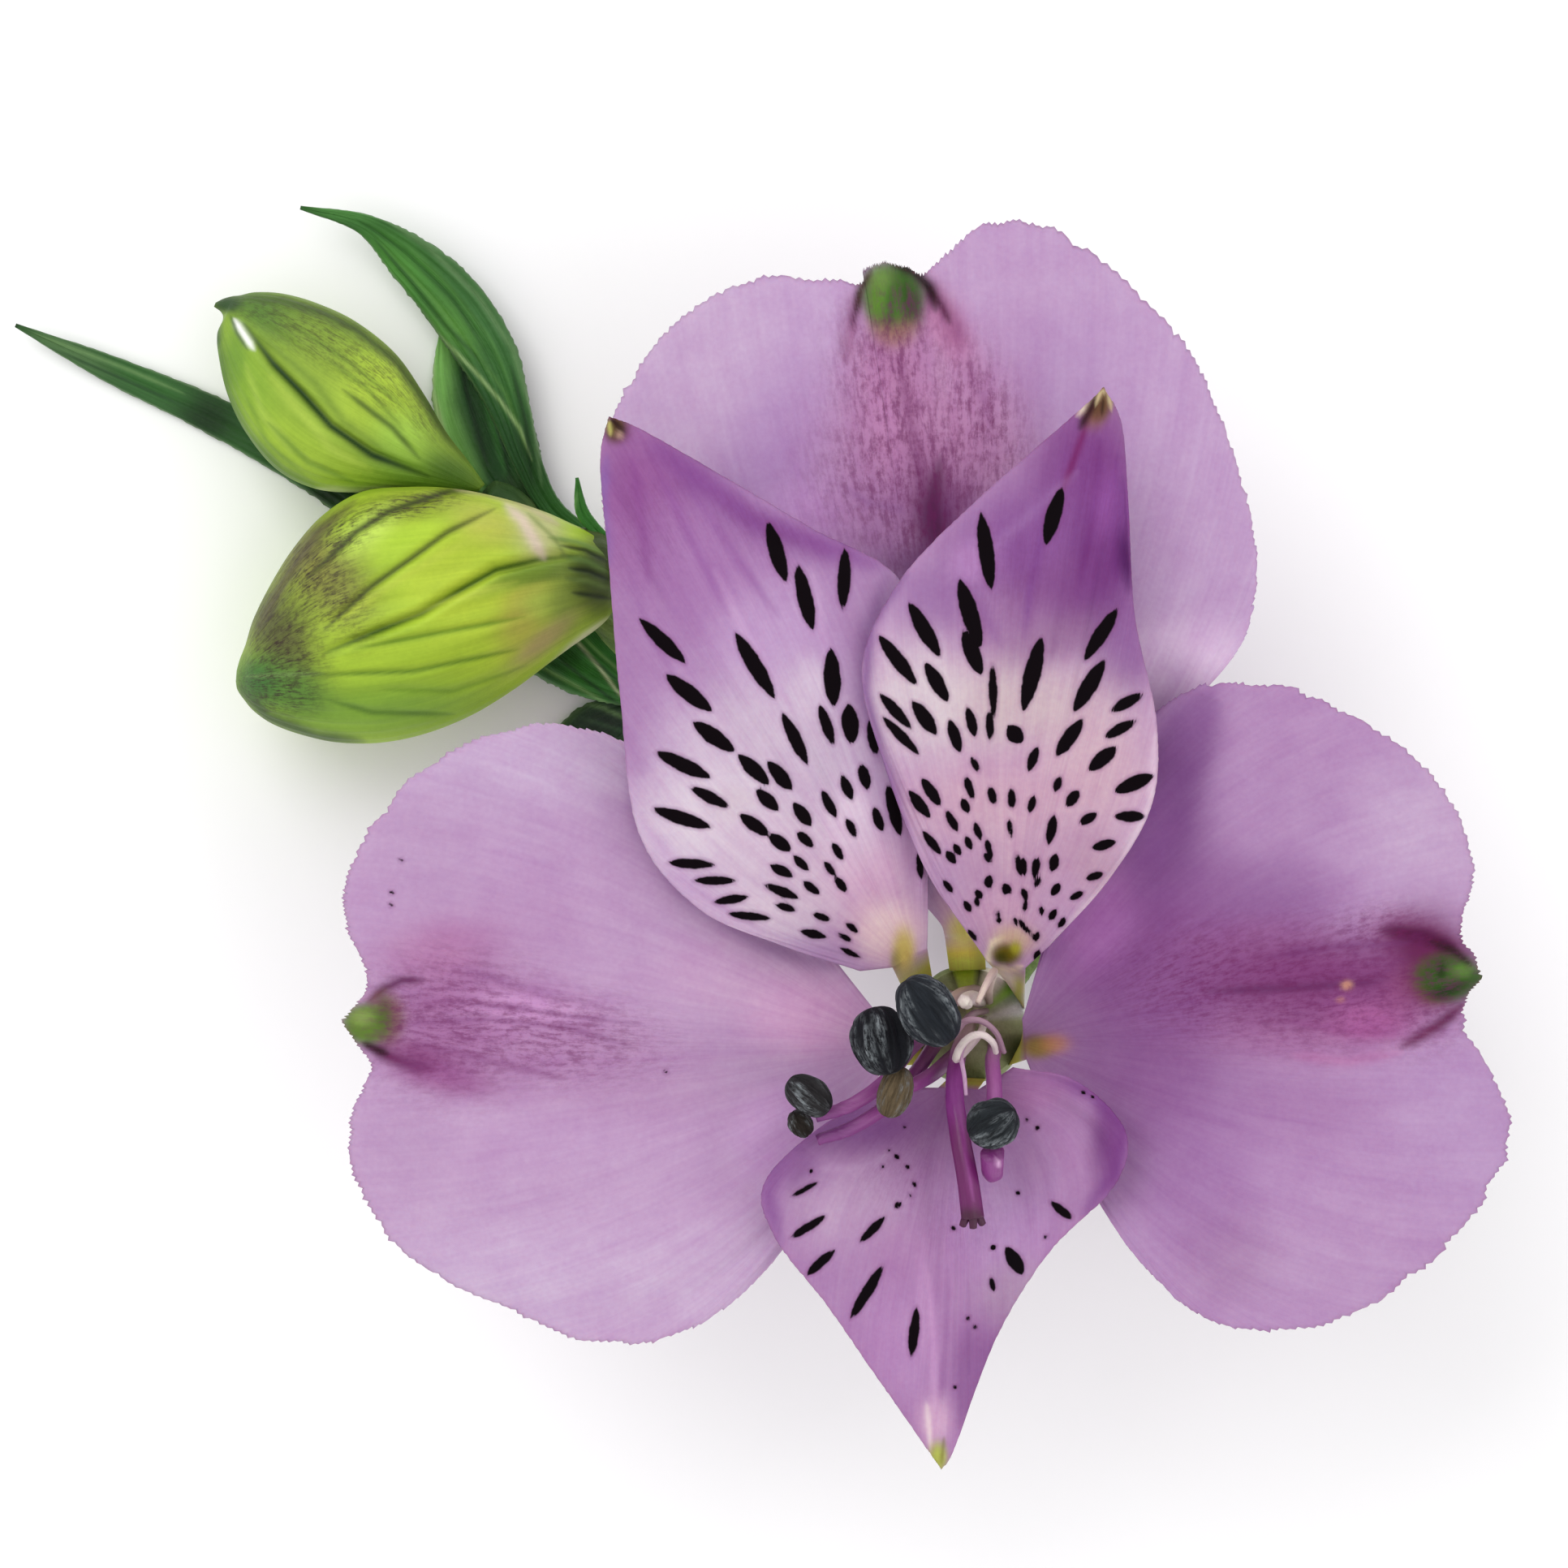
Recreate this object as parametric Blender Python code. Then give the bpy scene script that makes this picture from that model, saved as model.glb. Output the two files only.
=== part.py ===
"""A cut alstroemeria stem laid down: one open bloom facing up, two closed buds, and the leaves.

Sizes are in millimetres and become metres in spot(). Plan places are measured from the middle of the
bloom's throat, +X right and +Y up the plan, the way they look from the point EYE straight above the
surface. Whatever lies lower than the bloom's face stands a little farther out than it looks from there,
and spot() puts it there. Heights are above the surface that the stem lies on.
"""

import math

import bmesh
import bpy
from mathutils import Vector

MM = 0.001

# The viewpoint of the plan, the height of the bloom's face, and the throat's place in the finished part.
EYE = (-11.2, 14.5)
EYE_HEIGHT = 430.0
FACE_HEIGHT = 30.0
THROAT = (14.27, -12.39)

SEAT = 0.4
PETAL = 0.7
LEAF = 0.7

# The ovary under the bloom, and the ring on which the tepals and filaments stand.
OVARY_TOP = 14.0
OVARY_BOTTOM = 7.0
CLAW_RING = 3.25
CLAW_HALF_WIDTH = 1.1
FILAMENT_RING = 2.0
FILAMENT_RADIUS = 0.45

# The stem, the ray that carries the buds, and the pedicels.
STEM_RADIUS = 2.2
RAY_RADIUS = 1.5
PEDICEL_RADIUS = 1.15
BUD_PEDICEL_RADIUS = 0.95
NODE_RADIUS = 2.4
STEM_END = (28.2, -7.4)
UMBEL = (4.7, 7.0)
BUD_NODE = (-17.9, 20.2)

LILAC = (0.58, 0.37, 0.62)
PALE_LILAC = (0.66, 0.52, 0.68)
MAGENTA = (0.25, 0.03, 0.18)
LEAF_GREEN = (0.04, 0.16, 0.03)
STEM_GREEN = (0.14, 0.26, 0.05)
BUD_GREEN = (0.32, 0.48, 0.05)
ANTHER_DARK = (0.015, 0.02, 0.025)
ANTHER_BROWN = (0.09, 0.07, 0.03)


def clear_scene():
    for thing in list(bpy.data.objects):
        bpy.data.objects.remove(thing, do_unlink=True)


def spot(x, y, z):
    """The point, in metres, of the plan place x, y at the height z."""
    spread = (EYE_HEIGHT - z) / (EYE_HEIGHT - FACE_HEIGHT)
    across = THROAT[0] + EYE[0] + (x - EYE[0]) * spread
    up = THROAT[1] + EYE[1] + (y - EYE[1]) * spread
    return Vector((across, up, z)) * MM


def material(name, colour, roughness):
    made = bpy.data.materials.new(name)
    made.use_nodes = True
    shader = made.node_tree.nodes["Principled BSDF"]
    shader.inputs["Base Color"].default_value = (*colour, 1.0)
    shader.inputs["Roughness"].default_value = roughness
    shader.inputs["Metallic"].default_value = 0.0
    return made


def place(name, data, colour, roughness=0.5):
    """Links an object made of this mesh or curve, with a material of its own."""
    made = bpy.data.objects.new(name, data)
    data.materials.append(material(name, colour, roughness))
    bpy.context.scene.collection.objects.link(made)
    return made


def smooth(points, steps):
    """A smooth line through hand-placed points, each a tuple of numbers, with steps along each span."""
    first = tuple(2 * a - b for a, b in zip(points[0], points[1]))
    last = tuple(2 * a - b for a, b in zip(points[-1], points[-2]))
    held = [first, *points, last]
    line = []
    for p0, p1, p2, p3 in zip(held, held[1:], held[2:], held[3:]):
        for step in range(steps):
            t = step / steps
            line.append(tuple(
                0.5 * (2 * b + (c - a) * t + (2 * a - 5 * b + 4 * c - d) * t**2 + (3 * b - 3 * c + d - a) * t**3)
                for a, b, c, d in zip(p0, p1, p2, p3)
            ))
    line.append(tuple(points[-1]))
    return line


def sheet(name, rows, thickness, colour):
    """A thin blade with a skin on both sides of the rows of points, split into triangles alike on both."""
    mesh = bpy.data.meshes.new(name)
    shell = bmesh.new()
    grid = [[shell.verts.new(point) for point in row] for row in rows]
    for near, far in zip(grid, grid[1:]):
        for i in range(len(near) - 1):
            shell.faces.new((near[i], near[i + 1], far[i + 1]))
            shell.faces.new((near[i], far[i + 1], far[i]))
    shell.to_mesh(mesh)
    shell.free()
    mesh.shade_smooth()
    made = place(name, mesh, colour)
    skin = made.modifiers.new("Skin", "SOLIDIFY")
    skin.thickness = thickness * MM
    skin.offset = 0.0
    return made


def tube(name, route, colour, sides=8, steps=4):
    """A round stalk along the route, whose points are plan place, height and radius."""
    line = smooth(route, steps)
    curve = bpy.data.curves.new(name, "CURVE")
    curve.dimensions = "3D"
    curve.bevel_depth = MM
    curve.bevel_resolution = (sides - 4) // 2
    curve.use_fill_caps = True
    spline = curve.splines.new("POLY")
    spline.points.add(len(line) - 1)
    for point, (x, y, z, radius) in zip(spline.points, line):
        point.co = (*spot(x, y, z), 1.0)
        point.radius = radius
    return place(name, curve, colour)


def lofted(name, rings, colour):
    """A closed round form through rings of points, with a point at each end."""
    mesh = bpy.data.meshes.new(name)
    form = bmesh.new()
    loops = [[form.verts.new(point) for point in ring] for ring in rings]
    count = len(rings[0])
    for near, far in zip(loops, loops[1:]):
        for i in range(count):
            j = (i + 1) % count
            form.faces.new((near[i], near[j], far[j], far[i]))
    for loop, turn in ((loops[0], -1), (loops[-1], 1)):
        middle = form.verts.new(sum((vert.co for vert in loop), Vector()) / count)
        for i in range(count):
            form.faces.new((loop[i], loop[(i + turn) % count], middle))
    bmesh.ops.recalc_face_normals(form, faces=form.faces)
    form.to_mesh(mesh)
    form.free()
    mesh.shade_smooth()
    return place(name, mesh, colour)


def rings_along(spine, relief, sides, upright=Vector((0, 0, 1))):
    """Rings square to a spine of (x, y, z, half width, half height), shaped by relief(turn, share)."""
    centres = [spot(*point[:3]) for point in spine]
    rings = []
    for i, centre in enumerate(centres):
        along = (centres[min(i + 1, len(centres) - 1)] - centres[max(i - 1, 0)]).normalized()
        side = along.cross(upright).normalized()
        rise = side.cross(along)
        wide, high = spine[i][3] * MM, spine[i][4] * MM
        share = i / (len(centres) - 1)
        ring = []
        for k in range(sides):
            turn = 2 * math.pi * k / sides
            swell = relief(turn, share)
            ring.append(centre + side * (wide * swell * math.cos(turn)) + rise * (high * swell * math.sin(turn)))
        rings.append(ring)
    return rings


# Tepals: two margins from the throat to the tip, given in plan. The blade fans out between them from the
# throat, climbs by rise within a few bends of it, bends back by reflex, cups, and its margin waves.
TEPALS = {
    "tepal_outer_top": dict(
        stands=92, throat=(-0.3, 5.4), throat_height=22.0, throat_half=1.2, facing=95,
        left=[(-2.2, 8.6), (-4.8, 13.2), (-10.5, 18.6), (-17.0, 23.4), (-21.3, 28.0), (-22.2, 33.0),
              (-21.1, 37.6), (-17.9, 42.2), (-12.6, 45.0), (-6.7, 44.6)],
        tip=(-5.2, 46.0),
        right=[(1.8, 8.6), (4.6, 12.8), (9.4, 17.2), (14.4, 20.4), (17.0, 24.4), (17.2, 29.5),
               (15.4, 36.0), (12.4, 41.8), (5.8, 47.7), (1.0, 48.3), (-3.0, 45.5)],
        rise=8.0, bend=9.0, reflex=0.0025, cup=-0.004, wave=0.35, waves=5, colour=LILAC),
    "tepal_outer_left": dict(
        stands=206, throat=(-5.0, -1.3), throat_height=22.0, throat_half=1.25, facing=178,
        left=[(-7.0, -4.6), (-9.2, -8.6), (-11.4, -13.8), (-16.4, -18.2), (-22.1, -19.3), (-27.6, -17.4),
              (-33.5, -14.2), (-37.0, -9.6), (-37.4, -5.8), (-36.3, -2.6)],
        tip=(-37.9, 0.2),
        right=[(-6.9, 2.2), (-10.4, 6.8), (-16.2, 14.0), (-22.4, 17.7), (-28.2, 17.8), (-34.0, 14.6),
               (-37.4, 9.4), (-37.6, 6.2), (-36.4, 2.5)],
        rise=8.0, bend=9.0, reflex=0.0025, cup=-0.003, wave=0.35, waves=4, colour=LILAC),
    "tepal_outer_right": dict(
        stands=332, throat=(3.3, -0.9), throat_height=21.0, throat_half=1.25, facing=6,
        left=[(4.2, 2.4), (5.6, 8.9), (8.4, 15.8), (12.2, 19.6), (16.7, 20.6), (22.4, 19.0),
              (28.2, 14.8), (30.4, 9.4), (29.6, 6.0)],
        tip=(31.0, 2.8),
        right=[(4.0, -3.6), (7.0, -9.4), (10.5, -14.6), (14.8, -18.0), (21.0, -18.2), (27.2, -14.9),
               (31.4, -9.8), (32.4, -5.3), (29.8, 0.4)],
        rise=9.5, bend=9.0, reflex=0.0008, cup=-0.001, wave=0.35, waves=4, colour=LILAC),
    "tepal_inner_left": dict(
        stands=149, throat=(-3.6, 4.0), throat_height=23.0, throat_half=1.2, facing=119,
        left=[(-6.6, 3.2), (-11.5, 4.8), (-16.4, 7.0), (-20.0, 11.6), (-21.1, 19.7), (-21.8, 28.0),
              (-22.3, 33.9)],
        tip=(-21.8, 36.7),
        right=[(-2.5, 6.6), (-2.6, 13.0), (-3.0, 20.6), (-4.2, 26.8), (-9.6, 30.0), (-15.4, 33.4),
               (-19.8, 35.9)],
        rise=9.5, bend=7.0, reflex=0.0005, cup=0.004, wave=0.25, waves=3, colour=PALE_LILAC),
    "tepal_inner_right": dict(
        stands=34, throat=(2.2, 3.6), throat_height=23.5, throat_half=1.2, facing=80,
        left=[(0.2, 5.2), (-2.6, 9.2), (-5.2, 15.8), (-6.5, 21.6), (-4.2, 26.8), (0.4, 31.6),
              (6.9, 37.3)],
        tip=(8.1, 38.5),
        right=[(4.9, 4.8), (8.4, 8.7), (11.0, 13.2), (11.3, 18.2), (10.0, 24.6), (9.6, 31.4),
               (9.2, 36.2)],
        rise=10.5, bend=7.0, reflex=0.0, cup=0.004, wave=0.25, waves=3, colour=PALE_LILAC),
    "tepal_inner_lower": dict(
        stands=268, throat=(-0.7, -3.9), throat_height=23.0, throat_half=1.2, facing=267,
        left=[(2.6, -2.6), (6.4, -3.4), (9.4, -6.4), (8.8, -9.7), (4.8, -13.8), (1.6, -19.0),
              (-0.9, -25.6)],
        tip=(-1.7, -26.9),
        right=[(-4.6, -3.8), (-9.0, -6.2), (-12.4, -9.6), (-11.8, -12.8), (-8.6, -17.0), (-5.4, -21.6),
               (-2.6, -25.6)],
        rise=8.5, bend=6.0, reflex=0.004, cup=0.006, wave=0.25, waves=3, colour=LILAC),
}
CLAW_ROWS = 2
BLADE_ROWS = 5


def blade_height(form, x, y):
    """The height of a tepal's blade over the plan place x, y."""
    out_x, out_y = x - form["throat"][0], y - form["throat"][1]
    turn = math.radians(form["facing"])
    across = out_y * math.cos(turn) - out_x * math.sin(turn)
    reach = math.hypot(out_x, out_y)
    climb = form["rise"] * (1 - math.exp(-reach / form["bend"])) - form["reflex"] * reach**2
    return form["throat_height"] + climb + form["cup"] * across**2


def tepal(name, form):
    """One tepal: its claw climbs from the ovary to the throat, and its blade fans out to the margin."""
    left = smooth([*form["left"], form["tip"]], 2)
    right = smooth([*form["right"], form["tip"]], 2)
    margin = right + left[-2::-1]
    facing, stands = math.radians(form["facing"]), math.radians(form["stands"])
    foot = (CLAW_RING * math.cos(stands), CLAW_RING * math.sin(stands))
    shares = [-1 + 2 * i / (len(margin) - 1) for i in range(len(margin))]

    def across(middle, turn, half, share):
        return middle[0] - math.sin(turn) * half * share, middle[1] + math.cos(turn) * half * share

    rows = []
    for row in range(CLAW_ROWS):
        t = row / CLAW_ROWS
        line = []
        for share in shares:
            low = across(foot, stands, CLAW_HALF_WIDTH, share)
            high = across(form["throat"], facing, form["throat_half"], share)
            x, y = (a + (b - a) * t**1.6 for a, b in zip(low, high))
            bottom = OVARY_TOP + SEAT
            line.append(spot(x, y, bottom + (form["throat_height"] - bottom) * t))
        rows.append(line)
    for row in range(BLADE_ROWS + 1):
        s = (row / BLADE_ROWS) ** 1.3
        line = []
        for share, (edge_x, edge_y) in zip(shares, margin):
            start = across(form["throat"], facing, form["throat_half"], share)
            x = start[0] + (edge_x - start[0]) * s
            y = start[1] + (edge_y - start[1]) * s
            ripple = form["wave"] * s**3 * math.sin(form["waves"] * math.pi * share)
            line.append(spot(x, y, blade_height(form, x, y) + ripple))
        rows.append(line)
    return sheet(name, rows, PETAL, form["colour"])


# Stamens and style: routes of plan place and height from the ovary to the anther, the anther's middle,
# its half sizes, and the way it points.
STAMENS = {
    "1": dict(stands=80, route=[(-0.6, 1.7, 22), (-1.6, 0.9, 30), (-2.35, 0.55, 36.0)],
              anther=(-2.5, 0.8, 38.0), half=(2.4, 1.9, 1.8), points=(-0.55, 0.75, 0.3), colour=ANTHER_DARK),
    "2": dict(stands=125, route=[(-2.0, 0.8, 22), (-3.2, -0.2, 29), (-4.65, -0.8, 33.1)],
              anther=(-5.3, -1.0, 35.2), half=(2.0, 1.8, 1.8), points=(-0.35, 0.1, 0.9), colour=ANTHER_DARK),
    "3": dict(stands=165, route=[(-2.5, -0.4, 22), (-3.7, -1.6, 28.4), (-5.2, -3.5, 31.2), (-7.2, -4.9, 31.9),
                                 (-9.3, -5.6, 32.0)],
              anther=(-9.7, -4.3, 33.6), half=(1.75, 1.2, 1.1), points=(0.75, -0.55, 0.1), colour=ANTHER_DARK),
    "4": dict(stands=320, route=[(1.5, -1.7, 22), (1.4, -2.2, 27.6), (1.5, -3.8, 30.3), (1.5, -6.0, 31.0),
                                 (1.4, -8.3, 31.7), (1.4, -8.9, 32.8), (1.4, -7.8, 34.2)],
              anther=(1.4, -6.0, 35.2), half=(1.6, 1.5, 1.5), points=(-0.2, 0.3, 0.9), colour=ANTHER_DARK),
    "5": dict(stands=245, route=[(-1.3, -2.2, 22), (-2.2, -3.0, 28.3), (-3.2, -3.6, 31.4), (-3.9, -3.9, 32.3)],
              anther=(-4.5, -4.1, 34.2), half=(1.6, 1.0, 1.0), points=(0.3, 0.9, 0.2), colour=ANTHER_BROWN),
    "6": dict(stands=205, route=[(-2.3, -1.5, 22), (-3.4, -3.1, 28.3), (-5.0, -4.9, 30.6), (-7.2, -6.3, 31.3),
                                 (-9.2, -7.0, 31.3)],
              anther=(-10.2, -6.0, 32.2), half=(0.95, 0.7, 0.7), points=(-0.4, 0.6, 0.5), colour=ANTHER_BROWN),
}
STYLE = [(0, 0, OVARY_TOP + SEAT, 0.55), (-0.2, -0.5, 22, 0.6), (-0.7, -1.9, 28.3, 0.65),
         (-0.9, -4.2, 31.2, 0.68), (-0.6, -6.6, 32.2, 0.7), (-0.1, -9.4, 32.6, 0.72), (0.2, -11.7, 32.5, 0.7)]


def stamen(number, form):
    """A filament from the ovary's ring up through the throat, and the two-lobed anther on its end."""
    turn = math.radians(form["stands"])
    start = (FILAMENT_RING * math.cos(turn), FILAMENT_RING * math.sin(turn), OVARY_TOP + SEAT)
    route = [(*point, FILAMENT_RADIUS) for point in (start, *form["route"])]
    tube(f"filament_{number}", route, MAGENTA, steps=2)

    long, wide, high = form["half"]
    points = Vector(form["points"]).normalized()
    spine = []
    count = 5
    for i in range(count + 1):
        turn = math.pi * (0.06 + 0.88 * i / count)
        middle = Vector(form["anther"]) - points * long * math.cos(turn)
        spine.append((*middle, wide * math.sin(turn), high * math.sin(turn)))
    upright = Vector((0.3, 0.4, 1)) if abs(points.z) < 0.7 else Vector((0, 1, 0))
    rings = rings_along(spine, lambda turn, share: 1 - 0.16 * math.sin(turn) ** 8, 10, upright)
    lofted(f"anther_{number}", rings, form["colour"])


def bloom_ovary():
    """The ribbed ovary below the tepals, flat on top where they stand."""
    profile = [(OVARY_BOTTOM, 1.2), (7.7, 2.3), (9.0, 3.2), (11.0, 3.8), (13.2, 4.0), (OVARY_TOP, 3.9)]
    rings = rings_along(
        [(0, 0, z, radius, radius) for z, radius in profile],
        lambda turn, share: 1 + 0.05 * math.cos(6 * turn) * (1 - share),
        18, Vector((0, 1, 0)))
    lofted("bloom_ovary", rings, STEM_GREEN)


# Buds: a spine of plan place, height, half width and half height from the ovary to the tip.
BUDS = {
    "bud_upper": [(-29.55, 32.2, 3.05, 1.0, 1.0), (-32.6, 33.8, 4.3, 2.1, 2.0), (-35.0, 35.2, 5.0, 3.4, 3.2),
                  (-37.7, 36.7, 5.5, 4.55, 4.1), (-40.2, 38.5, 5.6, 4.7, 4.2), (-42.5, 40.5, 5.7, 3.8, 3.6),
                  (-44.1, 42.2, 5.9, 2.2, 2.4), (-45.3, 43.2, 6.1, 0.7, 0.9)],
    "bud_lower": [(-24.7, 27.1, 7.0, 3.2, 3.2), (-26.0, 26.9, 7.2, 4.6, 4.3), (-28.4, 26.3, 7.4, 6.0, 5.4),
                  (-32.1, 25.1, 7.5, 7.15, 6.2), (-36.5, 23.8, 7.5, 7.2, 6.2), (-39.8, 22.1, 7.4, 5.7, 5.1),
                  (-42.2, 21.3, 7.3, 3.4, 3.5), (-43.9, 20.8, 7.2, 1.2, 1.3)],
}
OVARIES = {
    "bud_upper_ovary": [(-29.2, 32.0, 2.8, 1.1, 1.1), (-28.3, 31.3, 2.45, 1.45, 1.45),
                        (-27.2, 30.4, 2.4, 1.4, 1.4), (-26.55, 29.87, 2.4, 0.9, 0.9)],
    "bud_lower_ovary": [(-24.0, 27.3, 7.0, 2.9, 2.9), (-23.2, 27.5, 7.0, 2.9, 2.9), (-22.0, 27.8, 6.9, 2.2, 2.2),
                        (-21.3, 27.9, 6.9, 1.2, 1.2)],
}


def bud_relief(turn, share):
    """Three shallow seams where the closed outer tepals meet, dying out at both ends."""
    seams = sum(math.exp(-((math.sin((turn - at) / 2) / 0.12) ** 2)) for at in (0.75, 2.65, 4.9))
    return 1 - 0.09 * seams * math.sin(math.pi * share) ** 0.5


def ribbed(turn, share):
    return 1 + 0.07 * math.cos(6 * turn) * math.sin(math.pi * share)


# Leaves: a spine of plan place, height and half width from the foot to the tip.
LEAVES = {
    "leaf_long": dict(
        spine=[(-20.9, 20.4, 1.6, 1.2), (-22.9, 21.6, 1.5, 2.0), (-25.0, 23.2, 1.1, 2.5), (-28.0, 25.5, 0.35, 2.5),
               (-32.1, 28.5, 0.35, 2.3), (-37.5, 32.4, 0.35, 1.7), (-42.4, 35.1, 0.35, 1.3),
               (-46.8, 37.3, 0.35, 1.1), (-52.2, 39.7, 0.6, 0.8), (-57.6, 42.2, 1.4, 0.12)],
        fold=0.0, roll=0),
    "leaf_support": dict(
        spine=[(-19.3, 18.3, 0.9, 1.0), (-20.9, 17.5, 0.35, 2.7), (-22.9, 15.0, 0.35, 3.3), (-24.9, 9.6, 0.35, 2.9),
               (-27.2, 3.0, 0.35, 2.6), (-28.2, -4.3, 0.35, 1.8), (-27.4, -10.4, 0.35, 0.15)],
        fold=0.0, roll=0),
    "leaf_arching": dict(
        spine=[(-18.5, 23.0, 2.6, 0.6), (-19.8, 25.6, 2.0, 0.6), (-22.3, 28.7, 1.8, 0.6), (-25.2, 31.1, 1.9, 0.7),
               (-26.7, 34.0, 2.2, 0.9), (-27.8, 37.3, 2.3, 1.3), (-29.0, 40.3, 2.3, 1.8),
               (-31.1, 43.5, 2.2, 1.9), (-33.8, 46.2, 2.3, 1.5), (-36.6, 48.3, 2.8, 0.65),
               (-40.4, 49.3, 3.6, 0.12)],
        fold=0.0, roll=-10),
    "leaf_folded": dict(
        spine=[(-19.7, 22.4, 0.9, 0.5), (-22.0, 26.0, 0.4, 0.6), (-24.4, 29.0, 0.35, 0.7), (-26.4, 31.2, 0.35, 1.2),
               (-28.0, 33.4, 0.35, 2.4), (-29.4, 36.4, 0.35, 2.8), (-30.6, 39.5, 0.35, 2.0),
               (-31.8, 42.2, 0.35, 0.2)],
        fold=0.1, roll=0),
    "leaf_bract": dict(
        spine=[(-20.4, 29.2, 6.9, 0.35), (-21.9, 31.0, 7.2, 0.45), (-23.1, 31.8, 7.4, 0.45),
               (-23.7, 32.9, 7.6, 0.12)],
        fold=0.1, roll=0),
}


def leaf(name, form):
    """A flat blade along its spine, rolled about it and folded along its midrib."""
    line = smooth(form["spine"], 2)
    roll = math.radians(form["roll"])
    rows = []
    for i, (x, y, z, half) in enumerate(line):
        ahead, behind = line[min(i + 1, len(line) - 1)], line[max(i - 1, 0)]
        length = math.hypot(ahead[0] - behind[0], ahead[1] - behind[1])
        side = ((behind[1] - ahead[1]) / length, (ahead[0] - behind[0]) / length)
        row = []
        for share in (-1, 0, 1):
            reach = share * half * math.cos(roll)
            height = z + share * half * math.sin(roll) + form["fold"] * abs(share) * half
            row.append(spot(x + side[0] * reach, y + side[1] * reach, max(height, LEAF / 2)))
        rows.append(row)
    sheet(name, rows, LEAF, LEAF_GREEN)


def pedicel(name, radius, route):
    return tube(name, [(*point, radius) for point in route], STEM_GREEN, steps=3)


def stem():
    """The cut stem, the ray beyond the umbel, and the pedicels of the bloom and of both buds, grown as one."""
    umbel = (*UMBEL, STEM_RADIUS)
    node = (*BUD_NODE, 2.4)
    parts = [
        tube("stem", [(*STEM_END, STEM_RADIUS, STEM_RADIUS), (16.4, -0.2, STEM_RADIUS, STEM_RADIUS),
                      (*umbel, STEM_RADIUS)], STEM_GREEN, sides=12, steps=1),
        tube("umbel", [(6.0, 6.2, 2.2, 2.1), (4.9, 6.9, 2.45, NODE_RADIUS), (3.6, 7.7, 2.2, 1.7)],
             STEM_GREEN, sides=12),
        tube("ray", [(*umbel, RAY_RADIUS), (-6.6, 13.6, 2.2, RAY_RADIUS), (*node, RAY_RADIUS)], STEM_GREEN,
             sides=10, steps=2),
        tube("node", [(-16.4, 19.3, 2.2, 1.4), (-17.9, 20.2, 2.4, NODE_RADIUS), (-19.0, 20.9, 2.5, 1.5)],
             STEM_GREEN, sides=12),
        pedicel("bloom_pedicel", PEDICEL_RADIUS, [(5.0, 6.8, 2.3), (3.4, 4.2, 2.4), (1.3, 1.3, 3.6),
                                                  (0.2, 0.1, 5.4), (0, 0, OVARY_BOTTOM - SEAT)]),
        pedicel("upper_pedicel", BUD_PEDICEL_RADIUS, [(-18.6, 20.8, 3.0), (-21.4, 23.5, 3.5), (-24.0, 26.8, 2.9),
                                                      (-26.1, 29.5, 2.4)]),
        pedicel("lower_pedicel", BUD_PEDICEL_RADIUS, [(-17.9, 20.4, 3.2), (-17.6, 23.4, 5.2), (-18.7, 26.7, 6.7),
                                                      (-20.6, 27.9, 6.9)]),
    ]
    solids = []
    for part in parts:
        mesh = bpy.data.meshes.new_from_object(part.evaluated_get(bpy.context.evaluated_depsgraph_get()))
        name, data = part.name, part.data
        bpy.data.objects.remove(part, do_unlink=True)
        bpy.data.curves.remove(data)
        solid = bpy.data.objects.new(name, mesh)
        bpy.context.scene.collection.objects.link(solid)
        solids.append(solid)
    trunk, *branches = solids
    group = bpy.data.collections.new("branches")
    for branch in branches:
        group.objects.link(branch)
    union = trunk.modifiers.new("Union", "BOOLEAN")
    union.operation = "UNION"
    union.operand_type = "COLLECTION"
    union.collection = group
    union.solver = "EXACT"
    mesh = bpy.data.meshes.new_from_object(trunk.evaluated_get(bpy.context.evaluated_depsgraph_get()))
    for solid in solids:
        bpy.data.objects.remove(solid, do_unlink=True)
    bpy.data.collections.remove(group)
    mesh.materials.clear()
    mesh.shade_smooth()
    place("stem", mesh, STEM_GREEN)


def main():
    clear_scene()
    stem()
    bloom_ovary()
    for name, form in TEPALS.items():
        tepal(name, form)
    for number, form in STAMENS.items():
        stamen(number, form)
    tube("style", STYLE, MAGENTA, steps=3)
    for name, spine in BUDS.items():
        lofted(name, rings_along(smooth(spine, 2), bud_relief, 20), BUD_GREEN)
    for name, spine in OVARIES.items():
        lofted(name, rings_along(smooth(spine, 2), ribbed, 12), STEM_GREEN)
    for name, form in LEAVES.items():
        leaf(name, form)


main()
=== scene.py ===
import math

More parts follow.
